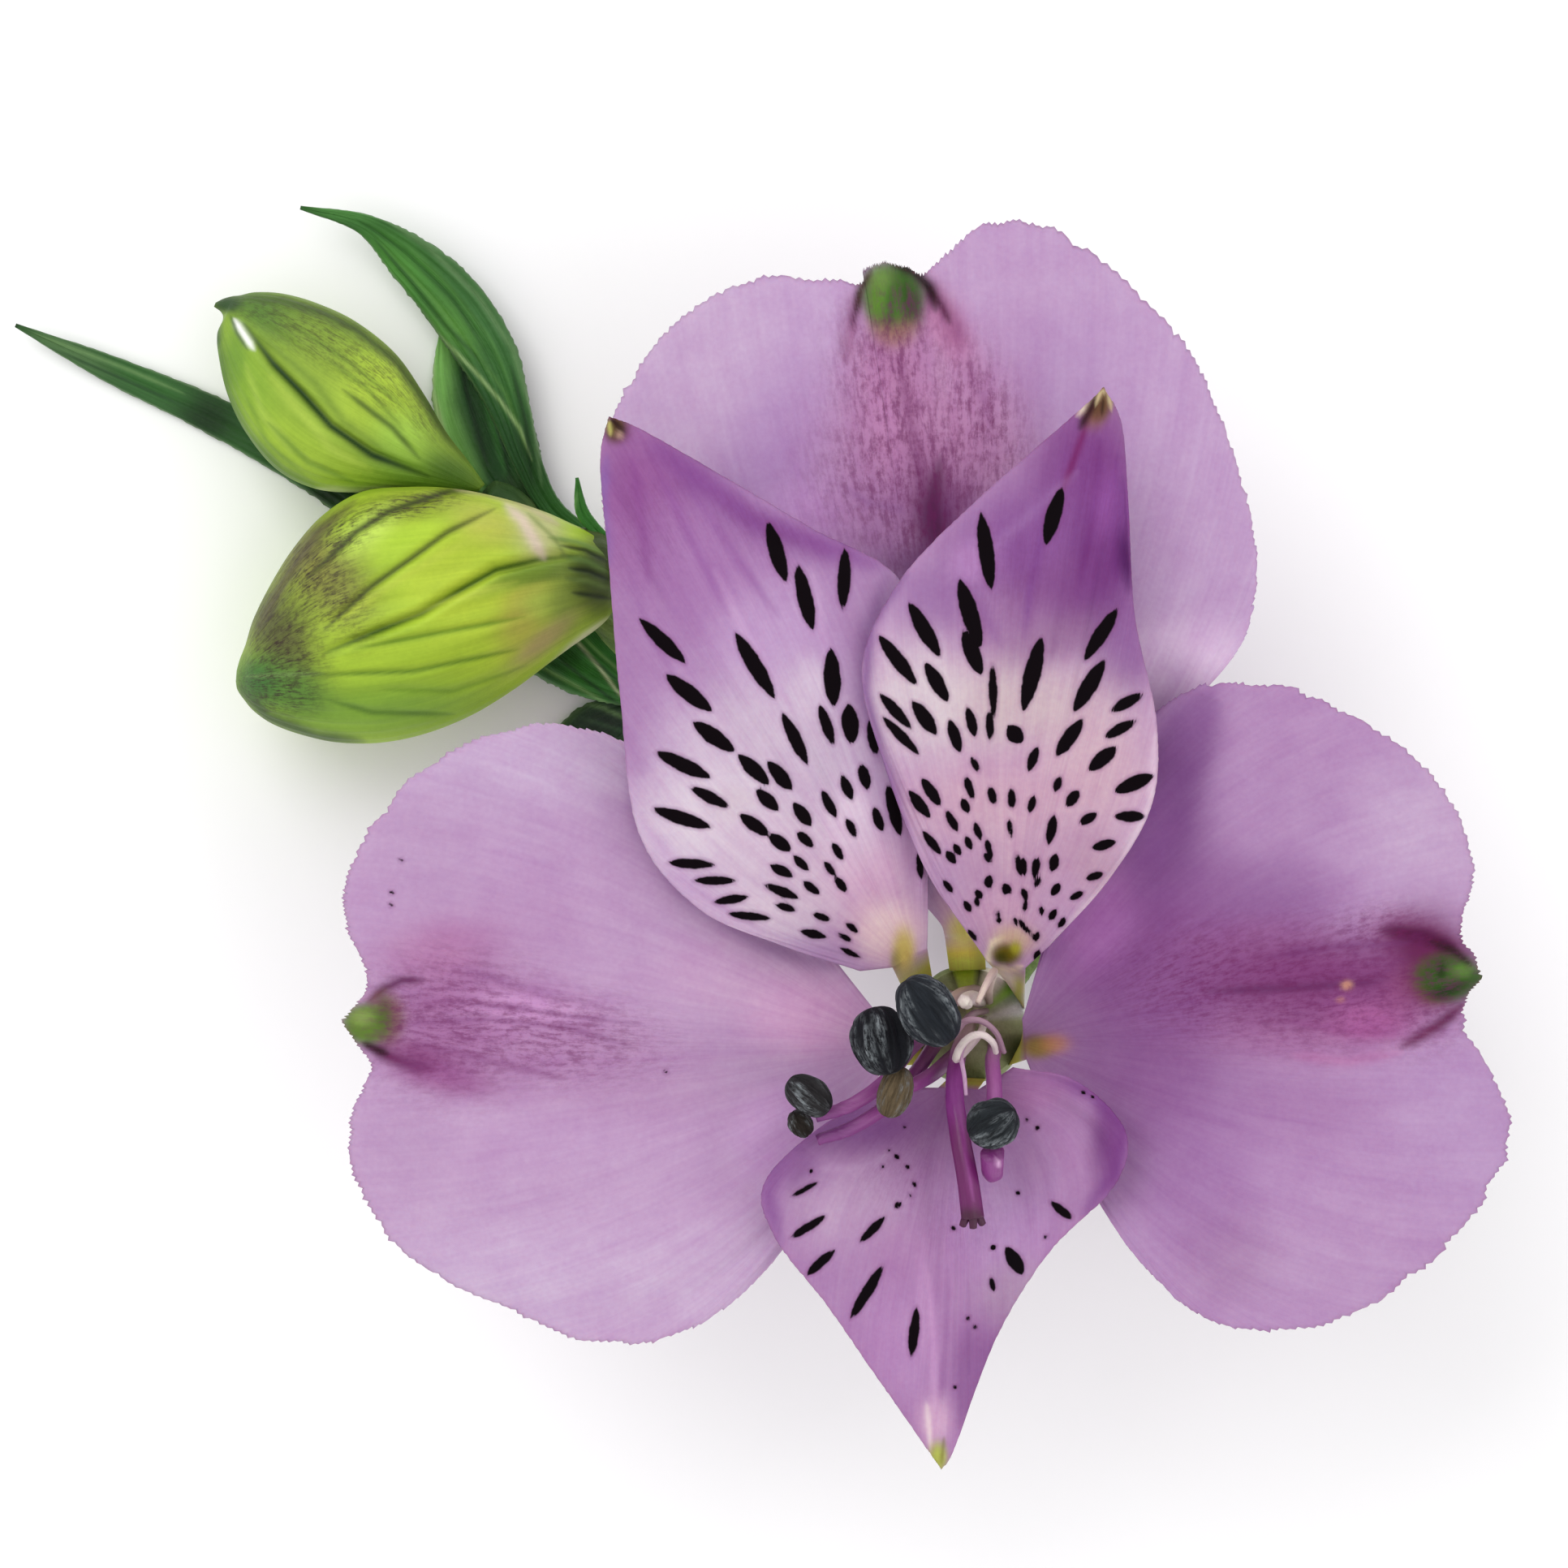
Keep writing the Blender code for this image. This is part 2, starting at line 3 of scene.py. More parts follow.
import bpy
import numpy as np
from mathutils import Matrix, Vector


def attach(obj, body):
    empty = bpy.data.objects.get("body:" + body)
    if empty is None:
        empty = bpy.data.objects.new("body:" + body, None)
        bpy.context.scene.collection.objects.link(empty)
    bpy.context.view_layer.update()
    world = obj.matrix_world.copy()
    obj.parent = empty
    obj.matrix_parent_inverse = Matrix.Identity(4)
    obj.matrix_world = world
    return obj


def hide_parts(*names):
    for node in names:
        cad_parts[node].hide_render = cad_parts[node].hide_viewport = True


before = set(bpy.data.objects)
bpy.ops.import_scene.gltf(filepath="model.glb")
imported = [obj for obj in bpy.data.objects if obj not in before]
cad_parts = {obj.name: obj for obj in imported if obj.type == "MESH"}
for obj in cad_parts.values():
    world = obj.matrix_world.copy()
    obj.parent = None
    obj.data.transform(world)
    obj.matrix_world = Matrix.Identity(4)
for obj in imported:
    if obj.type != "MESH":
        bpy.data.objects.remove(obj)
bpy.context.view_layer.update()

# Shapes are in millimetres; the stage, the stem's voxels and the materials' relief are in metres. Plan
# places run from the middle of the throat, +X right and +Y up, as they look from the point EYE. Heights run
# from the surface. Marks are placed in picture units, right and down. A picture unit is UNIT millimetres at
# FACE_HEIGHT, the height of the bloom's face, and the picture is PICTURE units wide and high.
MM = 0.001
PICTURE = 1932
UNIT = 0.049
UNIT_ZERO = (1195.0, 1262.0)
EYE = (-11.2, 14.5)
EYE_HEIGHT = 430.0
FACE_HEIGHT = 30.0
# The middle of the throat in the frame.
THROAT = (14.27, -12.39)
# Claws, filaments and style start at the height BLOOM_FOOT, a little inside the top of the bloom's ovary.
OVARY_TOP = 14.0
BLOOM_FOOT = OVARY_TOP - 0.15
# The light is bright enough to clear the pale floor, so every tone is laid a little darker.
PAINT = 0.86


def spot(x, y, z):
    """Points in metres of plan places and heights, all arrays of one shape."""
    widened = (EYE_HEIGHT - z) / (EYE_HEIGHT - FACE_HEIGHT)
    across = THROAT[0] + EYE[0] + (x - EYE[0]) * widened
    up = THROAT[1] + EYE[1] + (y - EYE[1]) * widened
    return np.stack([across, up, z * np.ones_like(across)], -1) * MM


def seen(points):
    """The picture units at which points, in metres, appear from the eye."""
    p = points / MM
    widened = (EYE_HEIGHT - p[..., 2]) / (EYE_HEIGHT - FACE_HEIGHT)
    x = (p[..., 0] - THROAT[0] - EYE[0]) / widened + EYE[0]
    y = (p[..., 1] - THROAT[1] - EYE[1]) / widened + EYE[1]
    return picture_place(x, y)


def picture_place(x, y):
    """The picture units of plan places."""
    return UNIT_ZERO[0] + x / UNIT, UNIT_ZERO[1] - y / UNIT


def smooth(points, steps):
    """A smooth line through given points, with steps along each span."""
    p = np.array(points, float)
    p = np.concatenate([[2 * p[0] - p[1]], p, [2 * p[-1] - p[-2]]])
    t = (np.arange(steps) / steps)[:, None]
    line = [
        0.5 * (2 * b + (c - a) * t + (2 * a - 5 * b + 4 * c - d) * t**2 + (3 * b - 3 * c + d - a) * t**3)
        for a, b, c, d in zip(p, p[1:], p[2:], p[3:])
    ]
    return np.concatenate([*line, p[-2:-1]])


def tone(*srgb):
    """A linear colour from red, green and blue out of 255."""
    c = np.array(srgb) / 255
    return np.where(c <= 0.04045, c / 12.92, ((c + 0.055) / 1.055) ** 2.4)


# Marks laid on a surface, softly edged.

FAR_OUTSIDE = -30.0


def soft(px, py, x, y, rx, ry, turn=0.0, edge=1.4):
    """A round patch that fades out: its middle, half sizes, turn in degrees and how sudden its edge is."""
    a = math.radians(turn)
    u = ((px - x) * math.cos(a) + (py - y) * math.sin(a)) / rx
    v = ((py - y) * math.cos(a) - (px - x) * math.sin(a)) / ry
    return np.exp(-((u * u + v * v) ** edge) * 0.9)


def distance(px, py, line):
    """How far each place lies from a line of points, and its share of the way along it."""
    best, along = np.full_like(px, 1e9), np.zeros_like(px)
    corners = np.array(line, float)
    gone = np.concatenate([[0], np.cumsum(np.hypot(*np.diff(corners, axis=0).T))])
    for number, ((ax, ay), (bx, by)) in enumerate(zip(corners, corners[1:])):
        dx, dy = bx - ax, by - ay
        t = np.clip(((px - ax) * dx + (py - ay) * dy) / (dx * dx + dy * dy), 0, 1)
        away = np.hypot(px - ax - t * dx, py - ay - t * dy)
        share = (gone[number] + t * (gone[number + 1] - gone[number])) / gone[-1]
        along = np.where(away < best, share, along)
        best = np.minimum(best, away)
    return best, along


def stroke(px, py, line, width):
    """A soft line that narrows and fades towards both ends."""
    away, along = distance(px, py, line)
    ends = np.sqrt(np.clip(np.minimum(along, 1 - along) / 0.22, 0, 1))
    return np.exp(-((away / (width * (0.3 + 0.7 * ends))) ** 2)) * (0.3 + 0.7 * ends)


def painted(px, py, ground, marks):
    """The colour at each place: the ground, and each mark mixed over it in turn.

    A mark is a shape, a tone and a strength. The shape is a round patch, as soft() takes it, in a tuple, or
    the points of a stroke and its width in a list.
    """
    colour = np.ones((len(px), 3)) * tone(*ground)
    for shape, value, strength in marks:
        if isinstance(shape, tuple):
            cover = soft(px, py, *shape)
        else:
            *line, width = shape
            cover = stroke(px, py, line, width)
        cover = (cover * strength)[:, None]
        colour = colour * (1 - cover) + tone(*value) * cover
    return colour * PAINT


def sunk(px, py, creases):
    """How deep creases lie at each place: lines with a width and a depth, raised a little beside them."""
    depth = np.zeros_like(px)
    for line, width, deep in creases:
        away, along = distance(px.ravel(), py.ravel(), line)
        away, along = away.reshape(px.shape), along.reshape(px.shape)
        ends = np.sqrt(np.clip(np.minimum(along, 1 - along) / 0.2, 0, 1))
        depth += deep * ends * (np.exp(-((away / width) ** 2)) - 0.4 * np.exp(-((away / width / 2.6) ** 2)))
    return depth


def dashes(px, py, marks):
    """How deep inside a spindle-shaped dash each place lies, in picture units; outside it is below zero.

    A dash is given by its two ends and half its width.
    """
    depth = np.full_like(px, FAR_OUTSIDE)
    for ax, ay, bx, by, half in marks:
        length = math.hypot(bx - ax, by - ay)
        dx, dy = (bx - ax) / length, (by - ay) / length
        along = (px - ax) * dx + (py - ay) * dy
        aside = np.abs((py - ay) * dx - (px - ax) * dy)
        t = np.clip(along / length, 0, 1)
        width = half * 0.9 * np.clip(1 - np.abs(2 * t - 1) ** 2.1, 0, 1) ** 0.8
        past = np.maximum(0, np.maximum(-along, along - length))
        depth = np.maximum(depth, width - aside - past)
    return depth


# Meshes from arrays.

def raise_mesh(name, points, faces, material, **fields):
    """A smooth piece from points and arrays of faces; each field has a value, vector or colour a point."""
    mesh = bpy.data.meshes.new(name)
    points = np.asarray(points, np.float32)
    faces = [np.asarray(part, np.int32) for part in faces]
    mesh.vertices.add(len(points))
    mesh.vertices.foreach_set("co", points.ravel())
    loops = np.concatenate([part.ravel() for part in faces])
    sizes = np.concatenate([np.full(len(part), part.shape[1], np.int32) for part in faces])
    mesh.loops.add(len(loops))
    mesh.loops.foreach_set("vertex_index", loops)
    mesh.polygons.add(len(sizes))
    mesh.polygons.foreach_set("loop_start", np.concatenate([[0], np.cumsum(sizes)[:-1]]).astype(np.int32))
    mesh.polygons.foreach_set("loop_total", sizes)
    mesh.update(calc_edges=True)
    mesh.validate()
    mesh.shade_smooth()
    for field, values in fields.items():
        values = np.asarray(values, np.float32)
        if field == "hue":
            values = np.concatenate([values, np.ones((len(values), 1), np.float32)], 1)
            made = mesh.color_attributes.new(field, "FLOAT_COLOR", "POINT")
            made.data.foreach_set("color", values.ravel())
        elif values.ndim == 2:
            mesh.attributes.new(field, "FLOAT_VECTOR", "POINT").data.foreach_set("vector", values.ravel())
        else:
            mesh.attributes.new(field, "FLOAT", "POINT").data.foreach_set("value", values)
    mesh.materials.append(material)
    piece = bpy.data.objects.new(name, mesh)
    bpy.context.scene.collection.objects.link(piece)
    return piece


def stands_for(piece, node):
    """Makes the piece the look of the model's node."""
    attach(piece, "root")
    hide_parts(node)


def zipped(near, far):
    """Triangles between two rows of vertex numbers, of which one may be twice as fine as the other."""
    n, m = len(near) - 1, len(far) - 1
    if n == m:
        a, b, c, d = near[:-1], near[1:], far[1:], far[:-1]
        return np.concatenate([np.stack([a, b, c], 1), np.stack([a, c, d], 1)])
    if m == 2 * n:
        a, b, c, d, e = near[:-1], near[1:], far[0:-1:2], far[1::2], far[2::2]
        return np.concatenate([np.stack([a, d, c], 1), np.stack([a, b, d], 1), np.stack([b, e, d], 1)])
    return zipped(far, near)[:, ::-1]


# Materials.

def new_material(name, roughness, **sockets):
    """A material and its shader; other sockets are named with _ for each space."""
    material = bpy.data.materials.new(name)
    material.use_nodes = True
    shader = material.node_tree.nodes["Principled BSDF"]
    shader.inputs["Roughness"].default_value = roughness
    for socket, value in sockets.items():
        shader.inputs[socket.replace("_", " ")].default_value = value
    return material, shader


def node(material, kind, settings=None, **inputs):
    """A shader node; inputs are named or numbered (i0, i1 ...) and are values or other sockets."""
    made = material.node_tree.nodes.new(kind)
    for key, value in (settings or {}).items():
        setattr(made, key, value)
    for key, value in inputs.items():
        socket = made.inputs[int(key[1:])] if key[0] == "i" and key[1:].isdigit() else made.inputs[key]
        if isinstance(value, bpy.types.NodeSocket):
            material.node_tree.links.new(value, socket)
        else:
            socket.default_value = value
    return made


def attribute(material, name, output="Fac"):
    """A field that raise_mesh laid on the piece."""
    return node(material, "ShaderNodeAttribute", {"attribute_name": name}).outputs[output]


def maths(material, operation, a, b=0.0, c=0.0):
    return node(material, "ShaderNodeMath", {"operation": operation}, i0=a, i1=b, i2=c).outputs[0]


def stretched(material, source, scale):
    """The vector source times a scale for each of its axes."""
    return node(material, "ShaderNodeVectorMath", {"operation": "MULTIPLY"}, i0=source, i1=scale).outputs[0]


def noise(material, vector, scale, detail=3.0, roughness=0.55):
    made = node(material, "ShaderNodeTexNoise", Vector=vector, Scale=scale, Detail=detail,
                Roughness=roughness)
    return made.outputs["Fac"]


def mixed(material, factor, a, b, blend="MIX"):
    """The colour a with b mixed over it by the factor."""
    made = node(material, "ShaderNodeMix", {"data_type": "RGBA", "blend_type": blend, "clamp_factor": True})
    for number, value in ((0, factor), (6, a), (7, b)):
        if isinstance(value, bpy.types.NodeSocket):
            material.node_tree.links.new(value, made.inputs[number])
        else:
            made.inputs[number].default_value = value
    return made.outputs[2]


def spread(material, value, low, high, to_low=0.0, to_high=1.0):
    """The value's range from low to high, stretched to another range and cut off at its ends."""
    made = node(material, "ShaderNodeMapRange", {"clamp": True}, i0=value, i1=low, i2=high, i3=to_low,
                i4=to_high)
    return made.outputs[0]


def bumped(material, shader, height, depth):
    """A fine relief of the given depth in metres."""
    bump = node(material, "ShaderNodeBump", Strength=1.0, Distance=depth, Height=height)
    material.node_tree.links.new(bump.outputs[0], shader.inputs["Normal"])


# How many cells a metre each noise has: broad clouds, fine grain, small cells and the dashes' wavy rims.
CLOUDS = 420.0
GRAINS = 3200.0
CELLS = 2300.0
WOBBLES = 1400.0
# The tones round and inside the dashes on petals.
DASH_HALO = (112, 60, 108)
DASH_INK = (7, 1, 5)


def painted_material(name, roughness, specular, broad_scale, fine_scale, streak, speck, speck_scale, depth,
                     tint=(1.0, 1.0, 1.0), dashed=False, **sockets):
    """Painted colour with streaks along the veins, a netting of small cells, and crisp dashes on petals.

    The scales are along the axes of the vein field: across, along and, on round pieces, across again. The
    streaks lighten and darken by the amount streak, times tint for red, green and blue, speck is the
    netting's tone, and depth is the relief's in metres.
    """
    material, shader = new_material(name, roughness, Specular_IOR_Level=specular, **sockets)
    vein = attribute(material, "vein", "Vector")
    place = node(material, "ShaderNodeTexCoord").outputs["Object"]
    broad = noise(material, stretched(material, vein, broad_scale), 1.0)
    fine = noise(material, stretched(material, vein, fine_scale), 1.0)
    cloud = noise(material, place, CLOUDS, 3.0)
    grain = noise(material, place, GRAINS, 2.0)
    lines = maths(material, "ADD", maths(material, "MULTIPLY", broad, 0.62),
                  maths(material, "MULTIPLY", fine, 0.38))
    light = spread(material, lines, 0.32, 0.68, -streak, streak)
    light = maths(material, "ADD", light, spread(material, cloud, 0.3, 0.7, -0.045, 0.045))
    light = maths(material, "ADD", light, spread(material, grain, 0.25, 0.75, -0.04, 0.04))
    parts = {f"i{i}": maths(material, "MULTIPLY_ADD", light, amount, 1.0) for i, amount in enumerate(tint)}
    shade = node(material, "ShaderNodeCombineXYZ", **parts).outputs[0]
    colour = mixed(material, 1.0, attribute(material, "hue", "Color"), shade, "MULTIPLY")

    cell = noise(material, stretched(material, vein, speck_scale), 1.0, 4.0, 0.7)
    cell = maths(material, "MULTIPLY_ADD", noise(material, place, CELLS, 4.0, 0.7), 0.35,
                 maths(material, "MULTIPLY", cell, 0.65))
    netting = maths(material, "MULTIPLY", spread(material, cell, 0.45, 0.6), attribute(material, "net"))
    colour = mixed(material, netting, colour, (*tone(*speck), 1))
    if dashed:
        wobble = maths(material, "SUBTRACT", noise(material, place, WOBBLES), 0.5)
        wobble = maths(material, "MULTIPLY", wobble, 4.0)
        within = maths(material, "ADD", attribute(material, "dash"), wobble)
        halo = spread(material, within, -5.0, 1.0, 0.0, 0.45)
        colour = mixed(material, halo, colour, (*tone(*DASH_HALO), 1))
        colour = mixed(material, spread(material, within, -0.8, 1.0), colour, (*tone(*DASH_INK), 1))
    material.node_tree.links.new(colour, shader.inputs["Base Color"])
    bumped(material, shader, maths(material, "ADD", lines, maths(material, "MULTIPLY", grain, 0.35)), depth)
    return material


# Tepals. A claw stands on its ring at the angle stands and climbs to the throat, where the blade starts. The
# blade fans out, facing outwards, between two margins in plan from the throat to the tip. It climbs by rise
# within a few bends of the throat, bends back by reflex, cups, and its margin waves. Creases, each a line, a
# width and a depth, and the raised point at the tip, a patch and a height, are placed in picture units.
TEPALS = {
    "tepal_outer_top": dict(
        stands=92, throat=(-0.3, 5.4), throat_height=22.0, throat_half=1.2, facing=95,
        left=[(-2.2, 8.6), (-4.8, 13.2), (-10.5, 18.6), (-17.0, 23.4), (-21.3, 28.0), (-22.2, 33.0),
              (-21.1, 37.6), (-17.9, 42.2), (-12.6, 45.0), (-6.9, 44.7), (-6.4, 45.6)],
        tip=(-5.3, 46.1),
        right=[(1.8, 8.6), (4.6, 12.8), (9.4, 17.2), (14.4, 20.4), (17.0, 24.4), (17.2, 29.5),
               (15.4, 36.0), (12.4, 41.8), (5.8, 47.7), (1.0, 48.3), (-2.6, 45.6), (-4.1, 46.0)],
        rise=8.0, bend=9.0, reflex=0.0025, cup=-0.004, wave=0.35, waves=5, teeth=1.0,
        ground=(190, 156, 197),
        marks=[
            ((870, 470, 130, 170), (196, 167, 201), 0.85), ((1260, 330, 170, 80), (188, 153, 193), 0.7),
            # The near-white patch at (1440, 830) is painted light against the shade the neighbouring tepals
            # cast there.
            ((1250, 430, 60, 60), (184, 146, 188), 0.7), ((1440, 830, 84, 56, -20), (255, 228, 255), 0.95),
            ((1460, 620, 90, 220), (192, 158, 198), 0.5), ((960, 590, 80, 150, 15), (172, 132, 184), 0.8),
            ((1000, 650, 80, 50), (204, 156, 212), 0.85), ((1300, 510, 80, 120), (177, 138, 186), 0.7),
            # The pink and yellow patches by the throat, at (1190, 1110) and (1190, 1146), are laid far
            # brighter than their colour, as painted light against the throat's shade.
            ((1430, 850, 60, 60), (180, 145, 186), 0.7), ((1190, 1110, 34, 44), (246, 206, 224), 0.9),
            ((1190, 1146, 22, 22), (236, 232, 110), 0.9), ((1100, 450, 55, 80), (176, 116, 161), 0.9),
            ((1125, 550, 105, 100), (174, 118, 163), 0.9),
            ((1205, 530, 60, 100, -20), (184, 128, 172), 0.7), ((1090, 640, 70, 60), (166, 114, 164), 0.7),
            ((1156, 620, 44, 60, -5), (150, 92, 142), 0.7), ((1152, 650, 26, 60, -5), (92, 38, 84), 0.9),
            ((1150, 700, 60, 30), (105, 50, 105), 0.8), ((1096, 520, 30, 60), (196, 138, 184), 0.5),
            ((1165, 400, 26, 60, -30), (182, 112, 156), 0.7), ((1184, 630, 34, 30), (116, 58, 114), 0.5),
            ([(1136, 344), (1160, 374), (1176, 402), (1188, 430), 12], (140, 76, 122), 0.55),
            ([(1140, 350), (1160, 376), (1172, 400), 5], (70, 26, 52), 0.8),
            ([(1190, 440), (1212, 490), (1228, 540), 8], (146, 90, 138), 0.4),
            ([(1062, 350), (1053, 382), (1047, 414), (1044, 450), 10], (140, 80, 124), 0.55),
            ([(1060, 356), (1054, 384), (1050, 406), 4], (74, 32, 58), 0.8),
            ([(1108, 440), (1122, 520), (1142, 620), 8], (124, 62, 112), 0.5),
            ([(1040, 600), (1070, 620), (1120, 630), 5], (138, 90, 146), 0.4),
            ([(1160, 560), (1150, 620), (1160, 690), 10], (82, 28, 70), 0.7),
            ((1102, 394, 32, 34, 0, 2.5), (150, 112, 76), 0.75),
            ((1100, 360, 41, 40, 0, 3.5), (72, 112, 44), 1.0), ((1084, 344, 16, 16), (120, 154, 80), 0.7),
            ((1080, 372, 12, 26), (100, 142, 52), 0.7), ((1098, 376, 6, 22), (60, 92, 38), 0.6),
            ((1122, 370, 14, 30, -20), (48, 72, 34), 0.8),
            ([(1096, 322), (1126, 335), (1146, 354), (1154, 384), 8], (34, 24, 22), 0.95),
            ([(1074, 332), (1060, 360), (1056, 386), 5], (66, 46, 38), 0.85),
        ],
        net=[(1100, 470, 70, 110), (1130, 580, 120, 110), (1152, 650, 70, 80), (1210, 520, 50, 100, -20),
             (1108, 384, 36, 36)],
        net_strength=0.7, dashes=[],
        creases=[
            ([(1136, 344), (1160, 376), (1184, 430)], 12, 0.35),
            ([(1061, 352), (1052, 392), (1044, 450)], 11, 0.3),
            ([(1104, 420), (1130, 560), (1155, 680)], 14, 0.3),
        ],
        point=(1100, 360, 41, 42, 0.9)),
    "tepal_outer_left": dict(
        stands=206, throat=(-5.0, -1.3), throat_height=22.0, throat_half=1.25, facing=178,
        left=[(-7.0, -4.6), (-9.2, -8.6), (-11.4, -13.8), (-16.4, -18.2), (-22.1, -19.3), (-27.6, -17.4),
              (-33.5, -14.2), (-37.0, -9.6), (-37.4, -5.8), (-36.3, -2.6)],
        tip=(-37.9, 0.2),
        right=[(-6.9, 2.2), (-10.4, 6.8), (-16.2, 14.0), (-22.4, 17.7), (-28.2, 17.8), (-34.0, 14.6),
               (-37.4, 9.4), (-37.6, 6.2), (-36.4, 2.5)],
        rise=8.0, bend=9.0, reflex=0.0025, cup=-0.003, wave=0.35, waves=4, teeth=1.0,
        ground=(190, 155, 194),
        marks=[
            ((650, 940, 170, 60), (200, 174, 206), 0.85), ((600, 1580, 220, 80), (199, 172, 205), 0.9),
            ((860, 1570, 160, 60), (198, 170, 203), 0.8), ((600, 1150, 150, 70), (178, 136, 180), 0.75),
            ((820, 1120, 120, 110), (192, 157, 195), 0.6), ((900, 1200, 90, 50), (206, 166, 203), 0.7),
            # The pale patch at (1000, 1250) is laid brighter than its colour, as painted light against the
            # shade by the throat.
            ((1000, 1250, 80, 50), (226, 176, 217), 0.9), ((520, 1050, 80, 80), (182, 148, 186), 0.6),
            ((500, 1400, 60, 60), (184, 150, 188), 0.6), ((740, 1320, 190, 60, 8), (176, 134, 176), 0.6),
            ((560, 1255, 85, 80), (154, 95, 146), 0.95), ((655, 1270, 130, 60, 5), (171, 120, 168), 0.75),
            ([(448, 1286), (476, 1300), (504, 1312), (540, 1320), 7], (72, 20, 56), 0.95),
            ((510, 1300, 50, 18, 14), (128, 56, 112), 0.7), ((548, 1330, 60, 18, 10), (150, 84, 140), 0.7),
            ((540, 1170, 70, 34, -10), (176, 112, 160), 0.5),
            ((640, 1243, 70, 22, 4), (206, 154, 204), 0.7),
            ([(560, 1236), (640, 1242), (700, 1252), (790, 1262), 3.5], (140, 92, 140), 0.5),
            ([(480, 880), (560, 940), (640, 1010), (700, 1080), 30], (176, 140, 182), 0.3),
            ((860, 1060, 60, 60), (190, 154, 192), 0.5),
            ([(452, 1236), (474, 1218), (496, 1208), (524, 1208), 5], (92, 36, 80), 0.85),
            ([(495, 1262), (600, 1256), (700, 1266), (780, 1290), 5], (128, 72, 124), 0.5),
            ([(500, 1240), (580, 1232), (660, 1246), 5], (134, 74, 126), 0.45),
            ([(505, 1284), (600, 1306), (700, 1330), 5], (130, 72, 124), 0.45),
            ([(560, 1190), (640, 1216), (740, 1240), 6], (150, 100, 150), 0.4),
            # The pale patch at (950, 1400) is painted light against the shade there, and the stroke below is
            # a painted shadow along the inner left tepal's margin.
            ((950, 1400, 44, 60, 20), (206, 162, 212), 0.85),
            ([(772, 915), (790, 1020), (840, 1095), (940, 1165), (1030, 1195), 13], (158, 118, 164), 0.7),
            ((474, 1254, 26, 34, 0, 2.5), (118, 84, 62), 0.8),
            ((450, 1262, 30, 26, 0, 3.5), (94, 124, 48), 1.0), ((446, 1254, 14, 10), (150, 172, 96), 0.6),
            ((474, 1250, 10, 24), (78, 88, 44), 0.7),
            ([(446, 1284), (462, 1292), (480, 1300), 5], (44, 30, 28), 0.85),
        ],
        net=[(560, 1260, 110, 84), (660, 1274, 150, 56, 6), (494, 1255, 34, 50)], net_strength=0.6,
        creases=[
            ([(448, 1288), (490, 1308), (540, 1322)], 9, 0.4),
            ([(452, 1234), (480, 1212), (524, 1208)], 8, 0.3),
            ([(490, 1262), (600, 1256), (780, 1290)], 12, 0.25),
        ],
        point=(452, 1260, 36, 30, 0.8),
        dashes=[(491, 1058, 499, 1062, 2.4), (480, 1098, 486, 1102, 2.6), (479, 1113, 485, 1116, 2.4),
                (817, 1319, 824, 1322, 2.4)]),
    "tepal_outer_right": dict(
        stands=332, throat=(3.3, -0.9), throat_height=21.0, throat_half=1.25, facing=6,
        left=[(4.2, 2.4), (5.6, 8.9), (8.4, 15.8), (12.2, 19.6), (16.7, 20.6), (22.4, 19.0),
              (28.2, 14.8), (30.4, 9.4), (29.6, 6.0)],
        tip=(31.0, 2.8),
        right=[(4.0, -3.6), (7.0, -9.4), (10.5, -14.6), (14.8, -18.0), (21.0, -18.2), (27.2, -14.9),
               (31.4, -9.8), (32.4, -5.3), (29.8, 0.4)],
        rise=9.5, bend=9.0, reflex=0.0008, cup=-0.001, wave=0.35, waves=4, teeth=1.0,
        ground=(178, 139, 184),
        marks=[
            ((1760, 1020, 110, 90), (191, 161, 196), 0.95), ((1810, 1390, 80, 130), (182, 147, 190), 0.9),
            ((1650, 1550, 160, 90), (183, 147, 188), 0.8), ((1600, 1000, 60, 60), (172, 133, 178), 0.6),
            ((1600, 1360, 90, 60), (166, 122, 170), 0.7), ((1510, 1550, 60, 60), (164, 124, 166), 0.7),
            # The dark violet patches here and below, down to the fold's stroke, are painted shade where the
            # tepal rises steeply from the throat and folds; the lighter patch at (1350, 1120) is painted
            # light against the shade by the throat.
            ((1560, 900, 120, 60), (176, 136, 181), 0.7), ((1400, 1160, 130, 130), (137, 84, 143), 1.0),
            ((1420, 1040, 70, 120), (130, 80, 140), 0.9), ((1490, 1180, 120, 90), (136, 82, 140), 0.85),
            ((1420, 1330, 110, 100), (139, 88, 145), 0.85), ((1470, 1450, 80, 90), (158, 112, 166), 0.7),
            ((1560, 1110, 90, 60), (142, 96, 150), 0.7), ((1350, 1120, 46, 70, 20), (184, 120, 188), 0.85),
            ((1448, 930, 36, 90, 14), (134, 84, 144), 0.8),
            ([(1492, 856), (1474, 920), (1452, 980), (1430, 1060), 26], (126, 76, 138), 0.5),
            ((1480, 884, 20, 40, 12), (150, 104, 160), 0.6), ((1450, 940, 40, 60, 20), (128, 80, 138), 0.5),
            ((1420, 1030, 40, 60), (146, 92, 156), 0.5), ((1640, 1262, 130, 40, -4), (176, 108, 158), 0.55),
            ((1560, 1160, 100, 30, -4), (154, 94, 148), 0.5),
            ((1740, 1160, 50, 30, 20), (150, 74, 126), 0.6), ((1620, 1218, 140, 62), (130, 72, 124), 0.9),
            ((1755, 1180, 55, 60), (106, 44, 88), 0.85), ((1650, 1205, 130, 40), (128, 62, 118), 0.8),
            ((1760, 1166, 50, 22, 15), (96, 30, 74), 0.85),
            ([(1700, 1146), (1755, 1154), (1798, 1172), 9], (84, 24, 66), 0.85),
            ([(1725, 1292), (1775, 1262), (1806, 1236), 7], (96, 36, 74), 0.9),
